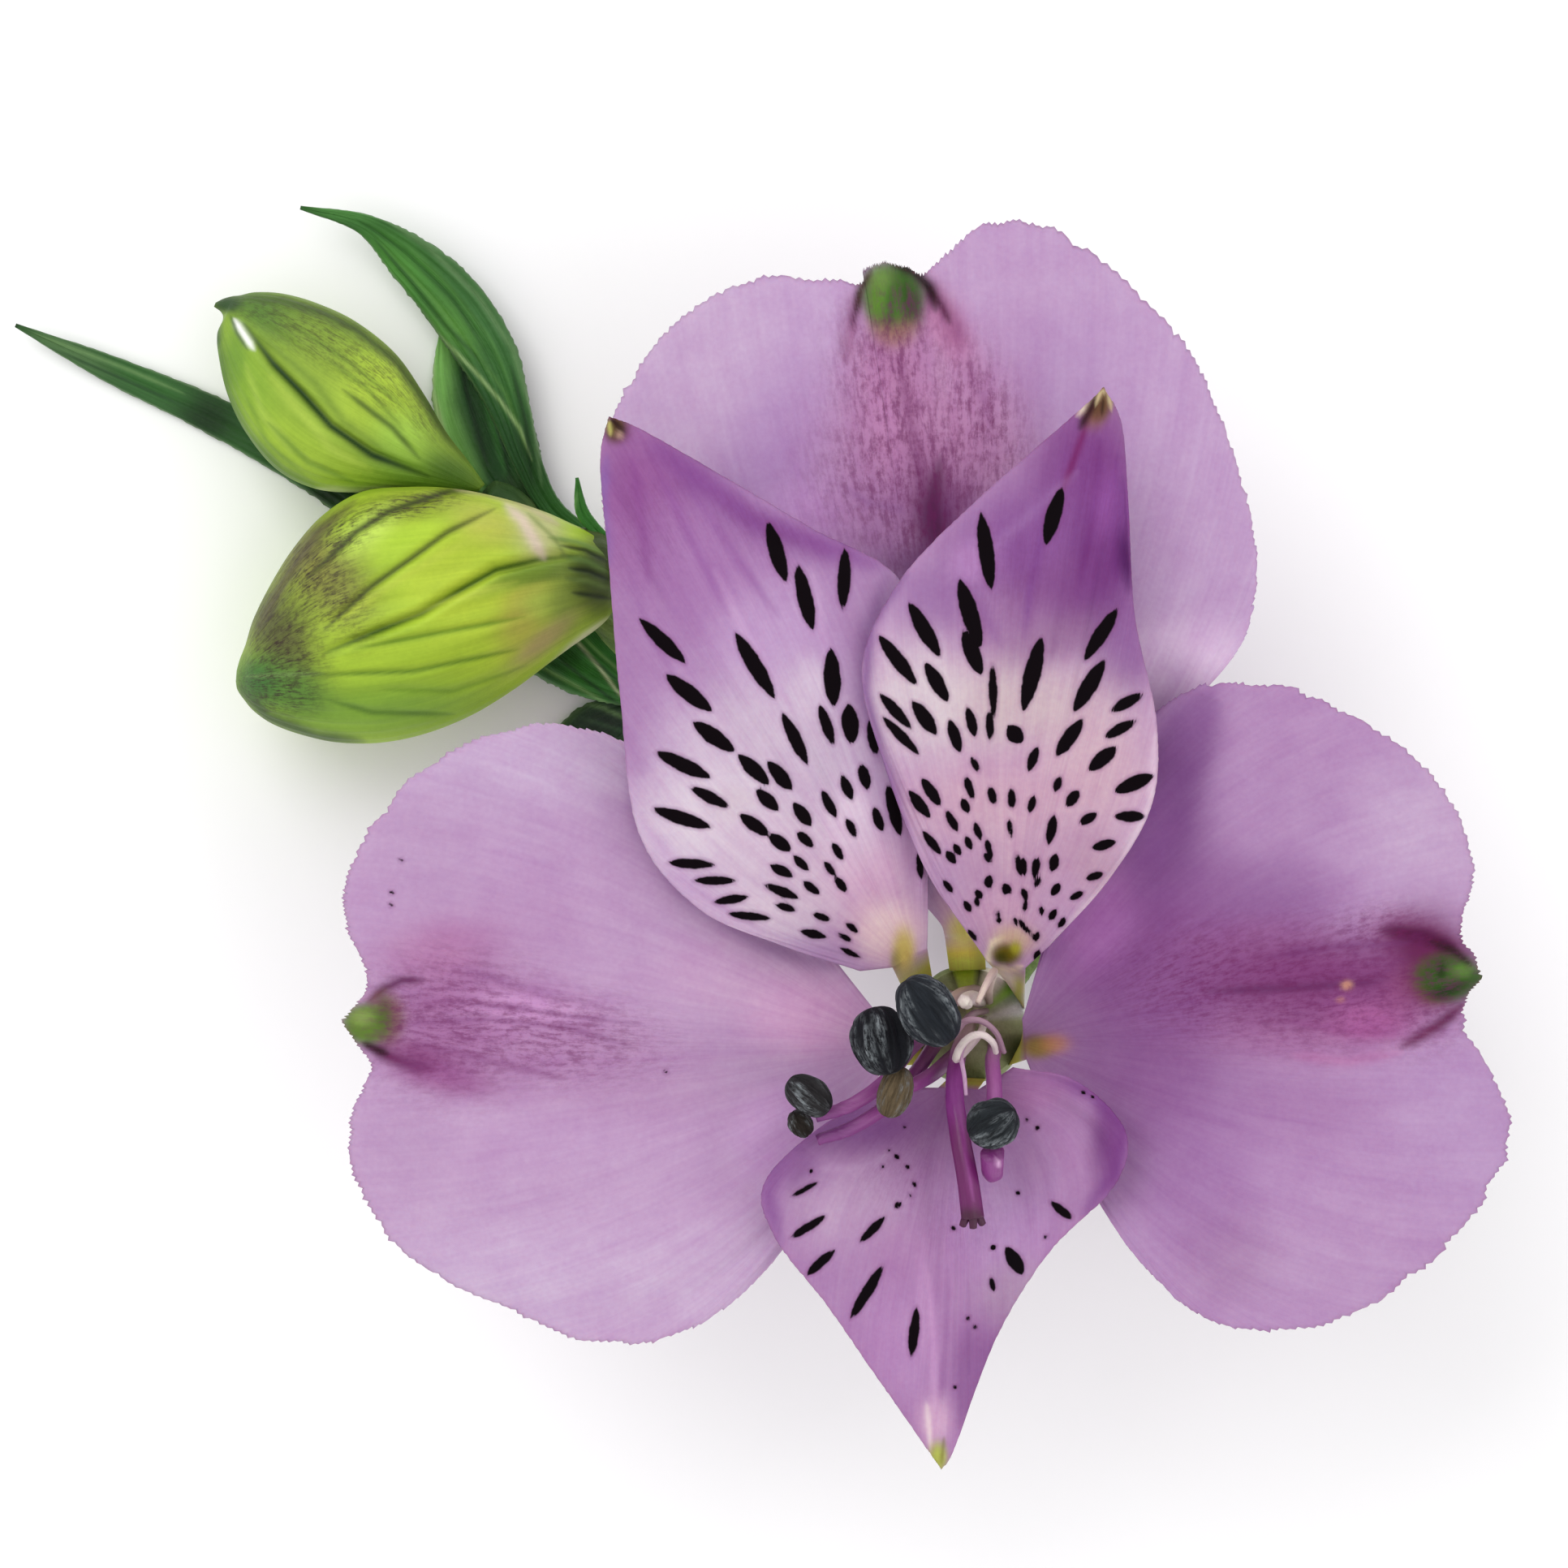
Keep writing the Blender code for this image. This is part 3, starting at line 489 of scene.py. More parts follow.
            ([(1480, 1222), (1600, 1218), (1720, 1208), 6], (88, 36, 84), 0.6),
            ([(1560, 1180), (1650, 1166), (1740, 1162), 6], (112, 52, 108), 0.5),
            ([(1580, 1256), (1660, 1272), (1740, 1276), 6], (138, 70, 128), 0.5),
            ((1690, 1258, 50, 24), (168, 90, 150), 0.7), ((1730, 1226, 30, 30), (150, 80, 130), 0.5),
            ((1768, 1210, 26, 28, 0, 2.5), (120, 84, 70), 0.8),
            ((1768, 1206, 44, 34, 0, 2.0), (104, 48, 66), 0.6),
            ((1786, 1204, 42, 30, 0, 3.0), (56, 90, 34), 1.0), ((1802, 1196, 14, 9), (104, 140, 66), 0.6),
            ([(1812, 1204), (1834, 1205), 9], (60, 88, 42), 0.9),
            ((1786, 1220, 24, 8, -20), (34, 50, 28), 0.8), ((1776, 1196, 6, 12), (36, 40, 26), 0.7),
            ([(1762, 1160), (1790, 1170), (1814, 1190), 5], (44, 30, 28), 0.85),
            ((1660, 1214, 7, 6), (206, 146, 120), 0.8), ((1652, 1232, 5, 4), (190, 128, 120), 0.6),
            ((1278, 1290, 22, 15, 0, 2.0), (150, 130, 46), 0.9),
            ((1300, 1286, 18, 12), (206, 146, 96), 0.7),
            ([(1590, 1300), (1660, 1308), (1730, 1296), 7], (184, 116, 166), 0.5),
        ],
        net=[(1620, 1215, 160, 78), (1750, 1220, 60, 70), (1700, 1150, 70, 34), (1500, 1210, 120, 70)],
        net_strength=0.6, dashes=[],
        creases=[
            ([(1488, 860), (1464, 940), (1444, 1000), (1425, 1090)], 34, 0.35),
            ([(1700, 1146), (1760, 1156), (1800, 1174)], 9, 0.4),
            ([(1725, 1292), (1775, 1262), (1806, 1236)], 9, 0.4),
            ([(1480, 1222), (1600, 1218), (1740, 1206)], 12, 0.25),
        ],
        point=(1796, 1204, 38, 30, 0.8)),
    "tepal_inner_left": dict(
        stands=149, throat=(-3.6, 4.0), throat_height=23.0, throat_half=1.2, facing=119,
        left=[(-6.6, 3.2), (-11.5, 4.8), (-16.4, 7.0), (-20.0, 11.6), (-21.1, 19.7), (-21.8, 28.0),
              (-22.3, 33.9)],
        tip=(-21.8, 36.7),
        right=[(-2.5, 6.6), (-2.6, 13.0), (-3.0, 20.6), (-4.2, 26.8), (-9.6, 30.0), (-15.4, 33.4),
               (-19.8, 35.9)],
        rise=9.5, bend=7.0, reflex=0.0005, cup=0.004, wave=0.25, waves=3, teeth=0.0,
        ground=(180, 143, 186),
        marks=[
            ((790, 620, 80, 130), (145, 85, 146), 1.0), ((860, 700, 110, 90), (163, 115, 169), 0.9),
            ((1050, 740, 60, 60), (168, 126, 172), 0.7),
            ([(800, 545), (860, 590), (930, 642), (1010, 672), (1090, 697), 24], (132, 74, 143), 0.9),
            ((960, 790, 70, 70), (190, 154, 197), 0.8), ((800, 800, 50, 70), (165, 120, 170), 0.7),
            ((950, 920, 130, 80), (206, 184, 206), 0.95), ((880, 1010, 100, 70), (217, 200, 215), 0.95),
            ((985, 1055, 90, 70), (213, 188, 209), 0.9), ((960, 1120, 90, 40), (216, 194, 212), 0.85),
            ([(762, 720), (768, 850), (786, 960), 30], (166, 124, 171), 0.85),
            ([(790, 1010), (850, 1090), (940, 1150), 9], (196, 160, 200), 0.6),
            # The pale patches at (1080, 1090), (1050, 1010), (1096, 1148) and (1000, 850) are laid brighter
            # than their colour, as painted light against the shade there.
            ((1080, 1090, 60, 60), (224, 182, 212), 0.95), ((1050, 1010, 30, 50), (232, 208, 228), 0.8),
            ((900, 990, 30, 20), (204, 184, 198), 0.6), ((1130, 1010, 24, 90), (176, 128, 176), 0.7),
            ((1096, 1148, 42, 36), (255, 222, 226), 0.95),
            ((1114, 1172, 14, 30, 0, 1.8), (226, 206, 110), 0.95),
            ((1104, 1186, 7, 14), (120, 124, 40), 0.6), ((1000, 850, 26, 40), (214, 192, 214), 0.8),
            # This stroke is painted shade under the inner right tepal's overlapping margin.
            ([(1095, 702), (1070, 780), (1066, 860), (1085, 940), 12], (148, 106, 158), 0.75),
            ([(780, 560), (790, 640), (800, 720), 8], (138, 74, 142), 0.5),
            ([(812, 580), (850, 660), (900, 760), 7], (146, 88, 156), 0.45),
            ([(850, 600), (910, 690), (960, 760), 7], (142, 84, 152), 0.45),
            ([(775, 700), (800, 780), (830, 830), 6], (150, 100, 158), 0.4),
            ([(880, 700), (920, 780), (980, 880), 7], (206, 170, 208), 0.35),
            ([(1000, 700), (1014, 780), (1030, 860), 6], (204, 168, 208), 0.35),
            ([(748, 560), (742, 620), (750, 700), 8], (128, 100, 170), 0.5),
            ((762, 530, 16, 18, 30, 2.0), (112, 60, 84), 0.7),
            ((758, 526, 13, 18, 10, 2.0), (92, 70, 40), 0.95),
            ([(752, 514), (770, 534), 5], (44, 22, 24), 0.9),
            ([(750, 517), (753, 538), 3], (196, 190, 110), 0.8), ((764, 536, 5, 5), (206, 170, 150), 0.6),
        ],
        net=[(800, 640, 60, 90), (940, 650, 90, 40, 25)], net_strength=0.16,
        creases=[
            ([(830, 600), (920, 660), (1000, 700)], 20, 0.3),
            ([(765, 560), (830, 760), (1000, 1000)], 14, 0.22),
        ],
        point=(760, 524, 14, 16, 0.35),
        dashes=[
            (946, 641, 969, 718, 11), (983, 695, 1002, 778, 11), (1042, 673, 1039, 753, 9),
            (788, 762, 846, 818, 10), (906, 779, 955, 861, 11), (1024, 798, 1028, 872, 12),
            (819, 830, 878, 877, 11), (853, 889, 906, 926, 11), (964, 878, 996, 943, 9),
            (1010, 868, 1028, 919, 8), (1046, 866, 1050, 918, 12), (1072, 886, 1080, 932, 8),
            (807, 926, 877, 959, 10), (910, 930, 949, 967, 10), (946, 938, 977, 974, 10),
            (851, 970, 899, 995, 8), (932, 973, 960, 999, 9), (1061, 940, 1070, 974, 8),
            (1037, 954, 1051, 987, 7), (978, 989, 1000, 1018, 9), (1013, 974, 1031, 1008, 7),
            (1094, 966, 1110, 1030, 9), (803, 996, 878, 1020, 9), (911, 1003, 949, 1030, 9),
            (947, 1027, 975, 1049, 9), (982, 1025, 1003, 1044, 7), (1043, 1008, 1055, 1032, 6),
            (1077, 994, 1088, 1025, 7), (1026, 1039, 1039, 1060, 6), (823, 1063, 882, 1066, 7),
            (978, 1054, 997, 1073, 6), (949, 1066, 979, 1080, 7), (854, 1085, 908, 1085, 6),
            (1016, 1062, 1030, 1080, 5), (1029, 1080, 1044, 1100, 6), (942, 1090, 985, 1107, 7),
            (990, 1086, 1010, 1102, 6), (879, 1112, 923, 1105, 6), (955, 1114, 982, 1122, 5),
            (897, 1126, 950, 1132, 6), (1002, 1126, 1024, 1134, 5), (1042, 1136, 1058, 1150, 5),
            (986, 1147, 1019, 1155, 6), (1032, 1150, 1050, 1160, 4), (1035, 1168, 1061, 1180, 4),
            (1132, 1050, 1136, 1084, 5),
        ]),
    "tepal_inner_right": dict(
        stands=34, throat=(2.2, 3.6), throat_height=23.5, throat_half=1.2, facing=80,
        left=[(0.2, 5.2), (-2.6, 9.2), (-5.2, 15.8), (-6.5, 21.6), (-4.2, 26.8), (0.4, 31.6),
              (6.9, 37.3)],
        tip=(8.1, 38.5),
        right=[(4.9, 4.8), (8.4, 8.7), (11.0, 13.2), (11.3, 18.2), (10.0, 24.6), (9.6, 31.4),
               (9.2, 36.2)],
        rise=10.5, bend=7.0, reflex=0.0, cup=0.004, wave=0.25, waves=3, teeth=0.0,
        ground=(190, 152, 190),
        marks=[
            ((1340, 580, 90, 130), (128, 69, 135), 1.0), ((1260, 680, 110, 90), (134, 80, 146), 0.95),
            ((1310, 735, 70, 50), (128, 74, 134), 0.85), ((1365, 700, 45, 110), (112, 52, 121), 0.9),
            ((1150, 740, 60, 50), (150, 106, 160), 0.8), ((1385, 810, 40, 60), (144, 102, 154), 0.8),
            ((1240, 780, 60, 50), (156, 112, 158), 0.7), ((1245, 870, 130, 60), (202, 178, 186), 0.95),
            ((1130, 860, 60, 70), (214, 196, 206), 0.9), ((1350, 950, 70, 80), (207, 174, 187), 0.85),
            ((1230, 990, 120, 60), (205, 166, 186), 0.9), ((1280, 1070, 90, 50), (195, 154, 182), 0.85),
            # The pale patch at (1240, 1125) is laid brighter than its colour, as painted light against the
            # shade near the throat.
            ((1240, 1125, 50, 36), (214, 170, 198), 0.85),
            # This dark stroke is painted shade where the tepal's left margin overlaps the inner left tepal.
            ([(1120, 705), (1072, 770), (1066, 850), (1085, 930), (1130, 1060), 9], (128, 84, 142), 0.8),
            ([(1384, 590), (1382, 660), (1392, 730), 10], (78, 26, 90), 0.9),
            ([(1342, 515), (1326, 560), (1308, 610), 5], (116, 30, 92), 0.75),
            ([(1356, 540), (1350, 620), (1330, 720), 6], (108, 44, 114), 0.5),
            ([(1376, 560), (1372, 640), (1376, 720), 6], (112, 48, 122), 0.5),
            ([(1290, 640), (1270, 720), (1262, 790), 6], (122, 66, 138), 0.5),
            ([(1320, 690), (1308, 760), (1296, 810), 7], (126, 72, 132), 0.5),
            ([(1180, 700), (1215, 760), (1236, 800), 8], (140, 92, 152), 0.4),
            ([(1330, 580), (1240, 660), (1180, 720), 8], (164, 122, 176), 0.35),
            ((1395, 780, 30, 60), (138, 88, 148), 0.6), ((1300, 790, 60, 30, -20), (146, 106, 144), 0.6),
            # This pale stroke along the right margin is a painted highlight.
            ([(1424, 900), (1420, 990), (1372, 1080), (1292, 1170), 7], (230, 208, 222), 0.65),
            ([(1250, 1000), (1246, 1080), 20], (214, 176, 196), 0.4),
            ([(1220, 1198), (1218, 1180), (1224, 1162), (1238, 1154), 5], (250, 236, 210), 0.9),
            ([(1228, 1192), (1244, 1196), (1262, 1190), 4], (240, 216, 190), 0.8),
            ((1250, 1158, 26, 18), (222, 196, 130), 0.6),
            ((1240, 1176, 19, 14, 0, 2.5), (112, 100, 20), 1.0), ((1234, 1180, 8, 7), (56, 60, 10), 0.8),
            ((1252, 1168, 7, 8), (186, 184, 50), 0.9), ((1350, 1060, 34, 44), (188, 150, 174), 0.8),
            ((1372, 624, 26, 40), (146, 84, 158), 0.7), ((1200, 690, 30, 26, -30), (182, 134, 188), 0.7),
            ((1300, 1110, 26, 40, 30), (196, 156, 190), 0.6),
            ((1352, 500, 17, 28, 15, 2.0), (134, 92, 64), 0.9),
            ((1357, 494, 13, 22, 5, 2.0), (104, 74, 50), 0.95),
            ([(1330, 530), (1344, 504), (1354, 480), 6], (48, 22, 28), 0.95),
            ([(1328, 514), (1342, 488), (1354, 472), 4], (228, 212, 190), 0.9),
            ([(1350, 500), (1356, 484), (1366, 480), (1370, 506), 3], (222, 204, 156), 0.75),
            ([(1358, 512), (1360, 490), 2.5], (40, 22, 24), 0.7),
        ],
        net=[(1340, 640, 60, 120), (1250, 700, 80, 60, -30)], net_strength=0.16,
        creases=[
            ([(1384, 590), (1382, 660), (1392, 730)], 12, 0.35),
            ([(1350, 540), (1320, 700), (1270, 1000)], 14, 0.25),
        ],
        point=(1354, 494, 14, 20, 0.4),
        dashes=[
            (1209, 630, 1222, 728, 11), (1309, 599, 1288, 673, 11), (1182, 712, 1209, 799, 12),
            (1187, 776, 1210, 832, 11), (1120, 742, 1159, 810, 11), (1083, 783, 1130, 844, 10),
            (1140, 816, 1169, 865, 10), (1378, 748, 1336, 815, 10), (1284, 784, 1261, 877, 12),
            (1223, 817, 1225, 886, 6), (1362, 812, 1323, 878, 11), (1084, 854, 1124, 899, 8),
            (1124, 863, 1155, 906, 10), (1410, 854, 1368, 877, 8), (1088, 883, 1133, 930, 7),
            (1192, 870, 1202, 908, 7), (1219, 876, 1221, 914, 6), (1170, 886, 1184, 928, 8),
            (1261, 1056, 1263, 1080, 5), (1276, 1056, 1275, 1084, 5), (1283, 1116, 1284, 1128, 4),
            (1264, 1110, 1262, 1124, 4), (1312, 1130, 1308, 1142, 4), (1280, 1148, 1276, 1160, 4),
            (1237, 1088, 1240, 1104, 4), (1202, 1106, 1206, 1118, 4), (1219, 1078, 1222, 1092, 4),
            (1250, 1130, 1254, 1142, 3.5), (1228, 1120, 1232, 1132, 3.5), (1242, 894, 1260, 916, 11),
            (1401, 887, 1361, 909, 8), (1335, 885, 1301, 933, 10), (1377, 920, 1341, 950, 10),
            (1279, 920, 1267, 951, 7), (1197, 932, 1207, 952, 5), (1190, 956, 1200, 986, 6),
            (1136, 959, 1159, 993, 8), (1120, 974, 1147, 1008, 8), (1422, 955, 1373, 976, 10),
            (1308, 956, 1300, 976, 6), (1220, 968, 1226, 992, 6), (1247, 970, 1247, 998, 6),
            (1186, 984, 1194, 1002, 6), (1275, 980, 1269, 1002, 6), (1330, 974, 1314, 994, 8),
            (1166, 998, 1181, 1026, 6), (1373, 1006, 1412, 1006, 8), (1352, 1002, 1330, 1016, 7),
            (1243, 1008, 1247, 1034, 4), (1300, 1003, 1292, 1042, 7), (1201, 1012, 1209, 1036, 5),
            (1137, 1024, 1160, 1053, 6), (1166, 1048, 1178, 1064, 6), (1176, 1040, 1184, 1054, 5),
            (1190, 1030, 1198, 1048, 5), (1216, 1034, 1222, 1060, 5), (1213, 1050, 1222, 1064, 5),
            (1376, 1037, 1346, 1045, 7), (1253, 1050, 1259, 1080, 5), (1280, 1056, 1274, 1080, 6),
            (1302, 1052, 1296, 1074, 7), (1360, 1076, 1338, 1083, 6), (1162, 1084, 1174, 1100, 5),
            (1215, 1080, 1221, 1096, 5), (1238, 1088, 1246, 1102, 5), (1260, 1094, 1266, 1110, 5),
            (1306, 1088, 1296, 1104, 6), (1282, 1080, 1276, 1094, 5), (1202, 1096, 1210, 1108, 5),
            (1336, 1099, 1318, 1108, 5), (1188, 1110, 1197, 1124, 5), (1228, 1128, 1234, 1138, 4),
            (1302, 1120, 1293, 1134, 5), (1314, 1132, 1304, 1143, 4), (1256, 1132, 1262, 1144, 4),
            (1262, 1141, 1269, 1151, 4), (1272, 1150, 1278, 1160, 4), (1193, 1145, 1204, 1160, 4),
            (1281, 1170, 1275, 1184, 5),
        ]),
    "tepal_inner_lower": dict(
        stands=268, throat=(-0.7, -3.9), throat_height=23.0, throat_half=1.2, facing=267,
        left=[(2.6, -2.6), (6.4, -3.4), (9.4, -6.4), (8.8, -9.7), (4.8, -13.8), (1.6, -19.0),
              (-0.9, -25.6)],
        tip=(-1.7, -26.9),
        right=[(-4.6, -3.8), (-9.0, -6.2), (-12.4, -9.6), (-11.8, -12.8), (-8.6, -17.0), (-5.4, -21.6),
               (-2.6, -25.6)],
        rise=8.5, bend=6.0, reflex=0.004, cup=0.006, wave=0.25, waves=3, teeth=0.0,
        ground=(169, 124, 172),
        marks=[
            ((1040, 1490, 80, 60), (190, 158, 191), 0.85), ((1230, 1480, 60, 90), (194, 154, 203), 0.8),
            ((1310, 1420, 50, 50), (182, 136, 184), 0.7), ((1250, 1590, 34, 44), (182, 151, 184), 0.6),
            ((1100, 1650, 40, 80, -25), (182, 138, 186), 0.7), ((1040, 1580, 50, 50), (172, 132, 176), 0.6),
            ([(1010, 1385), (962, 1420), (946, 1470), (962, 1540), 15], (140, 90, 150), 0.9),
            ([(1270, 1322), (1350, 1345), (1386, 1390), (1372, 1450), (1334, 1500), 14], (128, 72, 139),
             0.9), ([(1262, 1602), (1210, 1690), (1182, 1760), 13], (134, 88, 140), 0.8),
            # The dark patch at (1060, 1385) is a painted shadow of the filaments above it.
            ((1060, 1385, 80, 32), (132, 76, 144), 0.7), ((1262, 1345, 50, 30), (190, 134, 186), 0.8),
            ((1366, 1404, 22, 56), (116, 58, 124), 0.85), ((972, 1432, 40, 34), (138, 90, 146), 0.85),
            ((1250, 1600, 50, 40), (166, 134, 166), 0.8), ((1200, 1680, 20, 50), (150, 104, 156), 0.7),
            ((1100, 1540, 40, 40), (176, 130, 176), 0.5),
            ([(1142, 1560), (1150, 1650), (1152, 1740), 6], (206, 160, 204), 0.5),
            ([(1168, 1560), (1166, 1660), (1160, 1740), 5], (142, 92, 146), 0.4),
            ([(1140, 1520), (1134, 1600), (1140, 1680), 7], (196, 150, 196), 0.4),
            ([(1010, 1440), (1060, 1440), (1100, 1420), 7], (194, 160, 196), 0.5),
            ([(1270, 1400), (1300, 1440), (1290, 1500), 9], (178, 138, 184), 0.5),
            ((1200, 1680, 30, 60, 20), (134, 84, 140), 0.6), ((1152, 1752, 20, 30), (208, 168, 198), 0.9),
            ([(1142, 1728), (1148, 1790), 4], (232, 212, 214), 0.6),
            ((1156, 1796, 12, 20, 0, 2.0), (172, 176, 86), 1.0),
            ([(1164, 1770), (1160, 1805), 3], (120, 110, 60), 0.6),
        ],
        net=[(1110, 1440, 60, 60), (1180, 1500, 60, 60)], net_strength=0.14,
        creases=[
            ([(1156, 1400), (1150, 1560), (1154, 1760)], 12, 0.35),
            ([(985, 1415), (965, 1460), (985, 1530)], 18, -0.25),
            ([(1300, 1340), (1366, 1390), (1350, 1460)], 20, -0.2),
        ],
        point=(1156, 1796, 12, 20, 0.3),
        dashes=[
            (976, 1474, 1008, 1457, 4), (974, 1526, 1018, 1498, 6), (1060, 1531, 1091, 1499, 6),
            (1103, 1489, 1111, 1481, 4), (993, 1572, 1029, 1540, 7), (1048, 1626, 1089, 1558, 8),
            (1130, 1609, 1123, 1674, 7), (1294, 1480, 1323, 1503, 6), (1240, 1536, 1261, 1571, 10),
            (1221, 1573, 1225, 1591, 4), (1200, 1632, 1204, 1638, 4), (1222, 1534, 1226, 1540, 4),
            (1172, 1511, 1178, 1516, 3), (1102, 1422, 1108, 1428, 3), (1332, 1344, 1338, 1348, 3),
            (1276, 1388, 1281, 1392, 3), (1252, 1468, 1257, 1472, 3), (1116, 1436, 1121, 1440, 3),
            (1125, 1456, 1129, 1463, 3), (1113, 1387, 1117, 1390, 2.5), (1086, 1436, 1090, 1439, 2.5),
            (1345, 1350, 1349, 1353, 2.5), (1287, 1522, 1291, 1526, 3), (1191, 1622, 1195, 1627, 3),
            (1175, 1707, 1179, 1712, 3), (998, 1442, 1002, 1444, 2.5), (1264, 1378, 1268, 1382, 2.5),
            (1120, 1470, 1124, 1476, 2.5), (1094, 1416, 1098, 1419, 2.5),
        ]),
}
# The claws are green, laid lighter than their colour as painted light against the shade down the throat.
# Seen down the throat some parts are yellow, pink or white; these patches are laid far brighter than their
# colour, as painted light against that shade.
CLAW_GREEN = (192, 200, 92)
CLAW_MARKS = [
    ((1186, 1166, 20, 26, 0, 2.0), (255, 238, 104), 0.9),
    ((1188, 1194, 18, 15, 0, 2.0), (236, 255, 112), 0.9),
    ((1236, 1214, 15, 24, 10, 2.0), (255, 238, 232), 0.95),
    ([(1256, 1222), (1248, 1252), 5], (190, 208, 110), 0.8),
    ([(1272, 1186), (1264, 1244), 6], (255, 255, 250), 1.0),
]
PETAL = 0.42
PETAL_RIM = 0.5
PETAL_RIBS = 0.018
PETAL_WAVES = 0.14
CLAW_RING = 3.25
CLAW_HALF = 1.1
# Places along each span of the margin, rows of vertices along the claw, and rows along the blade.
FINE = 24
CLAW_ROWS = 14
BLADE_ROWS = 150
# The small teeth of the outer tepals' margin, two sets with their heights and spacings, and a fringe of
# single points. They fade out at TEETH_END of the way from the tip to the throat. All margins fray a little.
TEETH = ((0.2, 0.5), (0.2, 1.3))
FRINGE = 0.13
TEETH_END = 0.88
FRAY = 0.03
UNDERSIDE = (196, 170, 200)
UNDERSIDE_STRENGTH = 0.35


def blade_height(form, x, y):
    out_x, out_y = x - form["throat"][0], y - form["throat"][1]
    turn = math.radians(form["facing"])
    across = out_y * math.cos(turn) - out_x * math.sin(turn)
    reach = np.hypot(out_x, out_y)
    climb = form["rise"] * (1 - np.exp(-reach / form["bend"])) - form["reflex"] * reach**2
    return form["throat_height"] + climb + form["cup"] * across**2


def across_line(middle, turn, half, share):
    """Plan places on a line square to a direction; share runs from -1 to 1 over its two halves."""
    return middle[0] - math.sin(turn) * half * share, middle[1] + math.cos(turn) * half * share


def tepal_row(form, shares, margin, level):
    """One row of a tepal in plan and height; level runs from -1 at the foot over 0 at the throat to 1."""
    facing, stands = math.radians(form["facing"]), math.radians(form["stands"])
    start = across_line(form["throat"], facing, form["throat_half"], shares)
    if level < 0:
        foot = (CLAW_RING * math.cos(stands), CLAW_RING * math.sin(stands))
        low = across_line(foot, stands, CLAW_HALF, shares)
        climbed = level + 1
        x, y = (a + (b - a) * climbed**1.6 for a, b in zip(low, start))
        return x, y, np.full_like(x, BLOOM_FOOT + (form["throat_height"] - BLOOM_FOOT) * climbed)
    x = start[0] + (margin[:, 0] - start[0]) * level
    y = start[1] + (margin[:, 1] - start[1]) * level
    ripple = form["wave"] * level**3 * np.sin(form["waves"] * math.pi * shares)
    return x, y, blade_height(form, x, y) + ripple


def jagged_margin(name, form):
    """The margin from right to left, its shares from -1 to 1, and each place's way out from the throat."""
    left = smooth([*form["left"], form["tip"]], FINE)
    right = smooth([*form["right"], form["tip"]], FINE)
    margin = np.concatenate([right, left[-2::-1]])
    run = np.concatenate([[0], np.cumsum(np.hypot(*np.diff(margin, axis=0).T))])
    shares = 2 * run / run[-1] - 1
    chance = np.random.default_rng(sum(map(ord, name)))
    out = margin - np.array(form["throat"])
    length = np.hypot(*out.T)
    jag = 0
    for high, spacing in TEETH:
        teeth = int(run[-1] / spacing)
        heights = chance.uniform(-1, 1, teeth) ** 3
        jag = jag + high * np.interp(shares, np.linspace(-1, 1, teeth), heights)
    fringe = np.where(np.arange(len(margin)) % 2, 1, -1)
    jag = jag + chance.uniform(0.0, FRINGE, len(margin)) * fringe
    jag = jag * form["teeth"] * np.clip((TEETH_END - np.abs(shares)) * 8, 0, 1)
    jag = jag + FRAY * chance.uniform(-1, 1, len(margin))
    return margin + out / length[:, None] * jag[:, None], shares, length


def upper_stride(level):
    """Near the throat a row is short, and takes only some places of the margin."""
    for below, stride in ((0.125, 8), (0.25, 4), (0.5, 2)):
        if level < below:
            return stride
    return 1


def side_wall(upper, lower, rows):
    """Triangles between the side of the upper rows and that of the fewer lower rows, which stand at rows."""
    wall = []
    for (i, a), (j, b) in zip(zip(rows, lower), zip(rows[1:], lower[1:])):
        for k in range(i, j):
            wall.append((upper[k], upper[k + 1], a))
        if a != b:
            wall.append((upper[j], b, a))
    return np.array([face for face in wall if len(set(face)) == 3])


